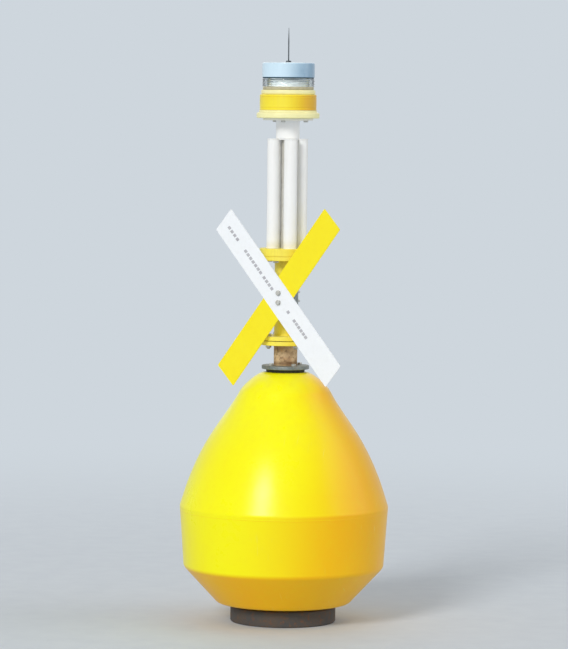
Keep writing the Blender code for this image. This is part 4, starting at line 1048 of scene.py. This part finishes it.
def makePanel():
    # a backing disc, with whole square cells laid on it
    sizes = {
        "shank": 0.0066, "cellPitch": 0.0242, "cell": 0.0230, "cellThickness": 0.0004,
        "cellCorner": 0.0022, "margin": 0.003,
    }
    low, high = levels("solar_panel")
    backing = high - sizes["cellThickness"]
    outline = ringSection(sizes["shank"] / 2, halfWidth("solar_panel"), low, backing, crisp)
    turnPiece("solar_panel", outline, "solar", finish="led_white")
    reach = halfWidth("solar_panel") - sizes["margin"]
    half = sizes["cell"] / 2
    count = math.ceil(reach / sizes["cellPitch"])
    spots = []
    for column in range(-count, count + 1):
        for row in range(-count, count + 1):
            x, y = (column + 0.5) * sizes["cellPitch"], (row + 0.5) * sizes["cellPitch"]
            if math.hypot(abs(x) + half, abs(y) + half) < reach:
                spots.append((x, y, backing + sizes["cellThickness"] / 2))
    cell = boxShape(sizes["cell"], sizes["cell"], sizes["cellThickness"])
    upright = [edge for edge in cell.edges if abs(edge.verts[0].co.z - edge.verts[1].co.z) > 0.0001]
    bmesh.ops.bevel(cell, geom=upright, offset=sizes["cellCorner"], segments=1, affect="EDGES")
    copyPiece("solar_cells", meshOf(cell, "solar_cells"), spots, "solar")


def makeSpike():
    sizes = {
        "shank": 0.006, "shankLength": 0.016, "boss": 0.020, "bossHeight": 0.006, "bossEdge": 0.002,
        "bossMid": 0.0006, "rod": 0.0045, "rodFoot": 0.0012, "straight": 0.080, "tip": 0.0014,
        "tipSwell": 0.0005, "tipLength": 0.014, "tipEnd": 0.0008,
    }
    foot, high = top("solar_panel") + gap, top("bird_spike")
    boss, rod, shank, tip = [sizes[key] / 2 for key in ("boss", "rod", "shank", "tip")]
    bossTop, edge, mid = foot + sizes["bossHeight"], sizes["bossEdge"], sizes["bossMid"]
    shankFoot = foot - sizes["shankLength"]
    turnPiece("bird_spike", [
        (0, shankFoot), (shank, shankFoot), (shank, foot), (boss, foot), (boss, bossTop - edge),
        (boss - mid, bossTop - mid), (boss - edge, bossTop), (rod + sizes["rodFoot"], bossTop + mid),
        (rod, bossTop + edge), (rod, foot + sizes["straight"]),
        (tip + sizes["tipSwell"], high - sizes["tipLength"]), (tip, high - sizes["tipEnd"]),
        (tip / 2, high), (0, high),
    ], "spike_steel", 32)
    print("lantern made")


# boards and their bracket

def roundedRectangle(width, height, radius, steps):
    outline = []
    for corner, (sideX, sideZ) in enumerate(((1, 1), (-1, 1), (-1, -1), (1, -1))):
        for step in range(steps + 1):
            angle = math.pi / 2 * (corner + step / steps)
            x = sideX * (width / 2 - radius) + radius * math.cos(angle)
            z = sideZ * (height / 2 - radius) + radius * math.sin(angle)
            outline.append((x, z))
    return outline


def makeBoards():
    sizes = {
        "length": 0.725, "width": 0.094, "whiteSlope": 53.4, "yellowSlope": 55.6, "endSlant": 17.5,
        "cornerRadius": 0.004, "edge": 0.0009,
    }
    slant = math.tan(math.radians(sizes["endSlant"]))
    square = roundedRectangle(sizes["length"], sizes["width"], sizes["cornerRadius"], 5)
    for node, turn, lean, slotName in (
        ("white_board", sizes["whiteSlope"], -slant, "board_white"),
        ("yellow_board", -sizes["yellowSlope"], slant, "board_yellow"),
    ):
        low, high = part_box(node)
        place = Matrix.Translation(middleOf(node)) @ Matrix.Rotation(math.radians(turn), 4, "Y")
        mesh = plateMesh(node, [(x + lean * z, z) for x, z in square], high.y - low.y, sizes["edge"])
        mesh.transform(place)
        dressNode(node, mesh, slotName)
        if node == "white_board":
            makeMarks(place, sizes["length"], high.y - low.y)
    print("boards made")


def makeMarks(place, boardLength, boardThickness):
    # plain short bars in a row along the board's middle, with room left round the bolts
    sizes = {
        "height": 0.0110, "thickness": 0.0003, "length": 0.0120, "space": 0.0040, "bolts": 0.012,
        # stretches of bars along the board, from its upper end
        "stretches": ((0.031, 0.102), (0.140, 0.255), (0.262, 0.396), (0.418, 0.440), (0.462, 0.552)),
    }
    bolts = [place.inverted() @ middleOf(node) for node in numbered("board_bolt", 2)]
    bar = boxShape(sizes["length"], sizes["thickness"], sizes["height"])
    bar.transform(place.to_3x3().to_4x4())
    spots = []
    for start, end in sizes["stretches"]:
        count = max(1, round((end - start) / (sizes["length"] + sizes["space"])))
        for index in range(count):
            along = -boardLength / 2 + start + (index + 0.5) * (end - start) / count
            nearest = min(math.hypot(along - bolt.x, bolt.z) for bolt in bolts)
            if nearest > sizes["bolts"] + sizes["length"] / 2:
                spots.append(place @ Vector((along, -(boardThickness + sizes["thickness"]) / 2, 0)))
    copyPiece("white_board_bars", meshOf(bar, "white_board_bars"), spots, "board_white", finish="marking_grey")


def makeBracket():
    # an off-cut of rectangular box section, standing on end
    sizes = {"wall": 0.005, "outerRadius": 0.008, "innerRadius": 0.004, "steps": 6}
    low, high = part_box("board_bracket")
    middle = middleOf("board_bracket")
    wide, deep, wall = high.x - low.x, high.y - low.y, 2 * sizes["wall"]
    outer = roundedRectangle(wide, deep, sizes["outerRadius"], sizes["steps"])
    inner = roundedRectangle(wide - wall, deep - wall, sizes["innerRadius"], sizes["steps"])
    shape = bmesh.new()
    loops = []
    for outline, level in ((outer, low.z), (outer, high.z), (inner, high.z), (inner, low.z)):
        loops.append([shape.verts.new((middle.x + x, middle.y + y, level)) for x, y in outline])
    bridgeLoops(shape, loops, loops[1:] + loops[:1])
    dressNode("board_bracket", meshOf(shape, "board_bracket"), "galvanised")


# fasteners, in shares of the bolt's diameter

boltShape = {
    "flats": 0.79, "head": 0.65, "nut": 0.80, "pastNut": 0.35, "washer": 0.18, "sides": 24, "pitch": 0.15,
    "threadRoot": 0.44, "threadCrest": 0.5, "threadEnd": 0.42,
}
hexShape = {"chamfer": 0.13, "end": 0.95, "mid": 1.06, "whole": 2}  # in shares of half the flats' width


def hexStations(low, high, flats, lowCut=True, highCut=True):
    # a hexagon whose ends are chamfered where asked
    chamfer = flats * hexShape["chamfer"]
    end, mid, whole = [hexReach(flats, hexShape[key]) for key in ("end", "mid", "whole")]
    lower = [(low, end), (low + chamfer / 2, mid), (low + chamfer, whole)] if lowCut else [(low, whole)]
    upper = [(high - chamfer, whole), (high - chamfer / 2, mid), (high, end)] if highCut else [(high, whole)]
    return lower + upper


def threadStations(start, end, diameter):
    count = max(1, int((end - start) / (diameter * boltShape["pitch"])))
    root, crest, last = [
        roundReach(diameter * boltShape[key]) for key in ("threadRoot", "threadCrest", "threadEnd")
    ]
    stations = []
    for index in range(count):
        level = start + (end - start) * index / count
        stations += [(level, root), (level + (end - start) / count / 2, crest)]
    return stations + [(end, last)]


def boltMesh(name, axis, diameter, grip, nut, washer):
    # the seat is at zero, the head on the near side of it and the shank along the axis
    flats = diameter * boltShape["flats"]
    shank = roundReach(diameter / 2)
    underHead = -diameter * boltShape["washer"] if washer else -gap
    stations = hexStations(underHead - diameter * boltShape["head"], underHead, flats, highCut=False)
    if washer:
        stations += [(underHead, roundReach(diameter)), (-gap, roundReach(diameter))]
    stations.append((-gap, shank))
    if nut:
        nutLow = grip + gap
        nutHigh = nutLow + diameter * boltShape["nut"]
        stations += [(nutLow, shank), *hexStations(nutLow, nutHigh, flats)]
        stations += threadStations(nutHigh, nutHigh + diameter * boltShape["pastNut"], diameter)
    else:
        stations.append((grip, shank))
    across = axis.orthogonal().normalized()
    other = axis.cross(across)
    shape = bmesh.new()
    joinRings(shape, [
        ringPoints(axis * level, across, other, reach, boltShape["sides"]) for level, reach in stations
    ])
    return meshOf(shape, name)


def makeBolts():
    for stem, count, axis, diameter, nut, washer in (
        ("ballast_bolt", 4, up, 0.016, False, False),
        ("float_bolt", 4, down, 0.010, False, True),
        ("flange_bolt", 4, down, 0.012, True, True),
        ("collar_bolt", 4, up, 0.012, False, False),
        ("lantern_bolt", 3, up, 0.010, False, False),
        ("board_bolt", 2, inward, 0.010, True, True),
    ):
        nodes = numbered(stem, count)
        head = diameter * boltShape["head"] + (diameter * boltShape["washer"] if washer else gap)
        tail = diameter * (boltShape["nut"] + boltShape["pastNut"]) + gap if nut else 0
        spots = []
        for node in nodes:
            low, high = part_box(node)
            length = abs((high - low).dot(axis))
            spots.append(middleOf(node) + axis * (head - length / 2))
        mesh = boltMesh(stem, axis, diameter, length - head - tail, nut, washer)
        copyPiece(stem + "s_finished", mesh, spots, "bolt_zinc", nodes, values={
            "Spin Axis": tuple(abs(part) for part in axis), "Spin": 0.9, "Seed": len(stem),
        })
    print("bolts made")


def makeUBolts():
    # each runs round the back of the mast, with its legs and nuts inside the bracket
    sizes = {
        "rod": 0.008, "fit": 0.0008, "pipe": 0.0889, "end": 0.010, "wall": 0.005, "arcSteps": 40, "sides": 20,
    }
    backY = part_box("board_bracket")[1].y
    legX = sizes["pipe"] / 2 + sizes["fit"] + sizes["rod"] / 2
    nutY = sizes["wall"] + gap
    nutEnd = nutY + sizes["rod"] * boltShape["nut"]
    plain = roundReach(sizes["rod"] / 2)
    leg = [(0.0, plain), (nutY, plain), *hexStations(nutY, nutEnd, sizes["rod"] * boltShape["flats"])]
    leg += threadStations(nutEnd, nutEnd + sizes["end"], sizes["rod"])
    for node in numbered("mast_u_bolt", 2):
        level = (bottom(node) + top(node)) / 2
        firstLeg, lastLeg = [[
            ringPoints(Vector((side * legX, backY - along, level)), right * side, up, reach, sizes["sides"])
            for along, reach in leg
        ] for side in (1, -1)]
        arc = []
        for step in range(sizes["arcSteps"] + 1):
            angle = math.pi * step / sizes["arcSteps"]
            outwards = Vector((math.cos(angle), math.sin(angle), 0))
            arc.append(ringPoints(outwards * legX + up * level, outwards, up, plain, sizes["sides"]))
        shape = bmesh.new()
        joinRings(shape, firstLeg[::-1] + arc + lastLeg)
        dressNode(node, meshOf(shape, node), "bolt_zinc")


def dressHiddenNodes():
    hidden = {"battery_pack": "battery_wrap", "control_board": "circuit"}
    hidden.update({node: "foil" for node in numbered("tube_core", 4)})
    for node, finish in hidden.items():
        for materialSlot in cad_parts[node].material_slots:
            materialSlot.material = finishes[finish]


makeBallast()
makeMooringEye()
makeStandPipe()
makeFloat()
makeMastPieces()
makeWelds()
makeReflectors()
makeAdaptor()
makeLanternBase()
makeLanternBody()
makeLanternDeck()
makeLampDrum()
makeLens()
makeCap()
makePanel()
makeSpike()
makeBoards()
makeBracket()
makeBolts()
makeUBolts()
dressHiddenNodes()


# floor, light and camera

def seenRays(tree):
    rays = addNode(tree, "ShaderNodeLightPath").outputs
    shiny = maths(tree, "MAXIMUM", rays["Is Glossy Ray"], rays["Is Transmission Ray"])
    return maths(tree, "MAXIMUM", rays["Is Camera Ray"], shiny)


def makeStage(backdrop):
    sizes = {"radius": 140.0, "fadeFrom": 1.6, "fadeTo": 7.0}
    shape = bmesh.new()
    bmesh.ops.create_circle(shape, cap_ends=True, segments=96, radius=sizes["radius"])
    floor = addObject("floor", meshOf(shape, "floor"))
    material = bpy.data.materials.new("pale floor")
    material.use_nodes = True
    tree = material.node_tree
    shader = tree.nodes["Principled BSDF"]
    place = objectPlace(tree)
    grain = patchOf(tree, place, 9.0, 5.0, 0.6, 0.3, 0.7)
    tree.links.new(mixColours(tree, grain, rgb(212, 219, 225), rgb(207, 214, 221)), shader.inputs["Base Color"])
    shader.inputs["Roughness"].default_value = 0.75
    shader.inputs["Specular IOR Level"].default_value = 0.2
    far = addNode(tree, "ShaderNodeEmission", {"Color": backdrop, "Strength": 1.0})
    away = addNode(tree, "ShaderNodeVectorMath", {0: place}, operation="LENGTH").outputs["Value"]
    fade = fitRange(tree, away, sizes["fadeFrom"], sizes["fadeTo"], interpolation_type="SMOOTHSTEP")
    mixShaders(tree, product(tree, fade, seenRays(tree)), shader, far, "Material Output")
    floor.data.materials.append(material)


def addSun(name, azimuth, elevation, strength, angle):
    # the azimuth of where it comes from counts from -Y towards +X
    lamp = bpy.data.lights.new(name, "SUN")
    lamp.energy = strength
    lamp.angle = math.radians(angle)
    sun = addObject(name, lamp)
    around, above = math.radians(azimuth), math.radians(elevation)
    flat = math.cos(above)
    towards = Vector((math.sin(around) * flat, -math.cos(around) * flat, math.sin(above)))
    sun.location = towards * 6  # a sun shines the same from anywhere
    sun.rotation_euler = towards.to_track_quat("Z", "Y").to_euler()


def makeLight(backdrop):
    world = bpy.data.worlds.new("pale room")
    bpy.context.scene.world = world
    world.use_nodes = True
    tree = world.node_tree
    ambient = tree.nodes["Background"]
    ambient.inputs["Color"].default_value = (1.0, 1.0, 1.0, 1.0)
    ambient.inputs["Strength"].default_value = 0.42
    seen = addNode(tree, "ShaderNodeBackground", {"Color": backdrop, "Strength": 1.0})
    mixShaders(tree, seenRays(tree), ambient, seen, "World Output")
    addSun("key", -12, 31, 1.46, 17)
    addSun("low fill", -4, 5, 0.42, 60)
    addSun("fill", 100, 24, 0.60, 50)
    addSun("back fill", 196, 30, 0.36, 60)
    print("light set")


def makeCamera():
    sizes = {
        "azimuth": 15.0, "distance": 13.5, "eye": 2.00, "aim": 1.13, "aside": -0.007,
        "lens": 198.0, "sensor": 36.0, "roll": 0.6, "sight": 400.0,
    }
    data = bpy.data.cameras.new("camera")
    data.lens = sizes["lens"]
    data.sensor_fit = "AUTO"
    data.sensor_width = sizes["sensor"]
    data.clip_end = sizes["sight"]
    camera = addObject("camera", data)
    angle = math.radians(sizes["azimuth"])
    away = Vector((math.sin(angle), -math.cos(angle), 0)) * sizes["distance"]
    aside = Vector((math.cos(angle), math.sin(angle), 0)) * sizes["aside"]
    camera.location = away + aside + up * sizes["eye"]
    towards = aside + up * sizes["aim"] - camera.location
    level = towards.to_track_quat("-Z", "Y").to_matrix()
    camera.rotation_euler = (level @ Matrix.Rotation(math.radians(sizes["roll"]), 3, "Z")).to_euler()
    bpy.context.scene.camera = camera


backdropColour = rgb(206, 214, 221)
makeStage(backdropColour)
makeLight(backdropColour)
makeCamera()
bpy.context.scene.view_settings.view_transform = "Standard"
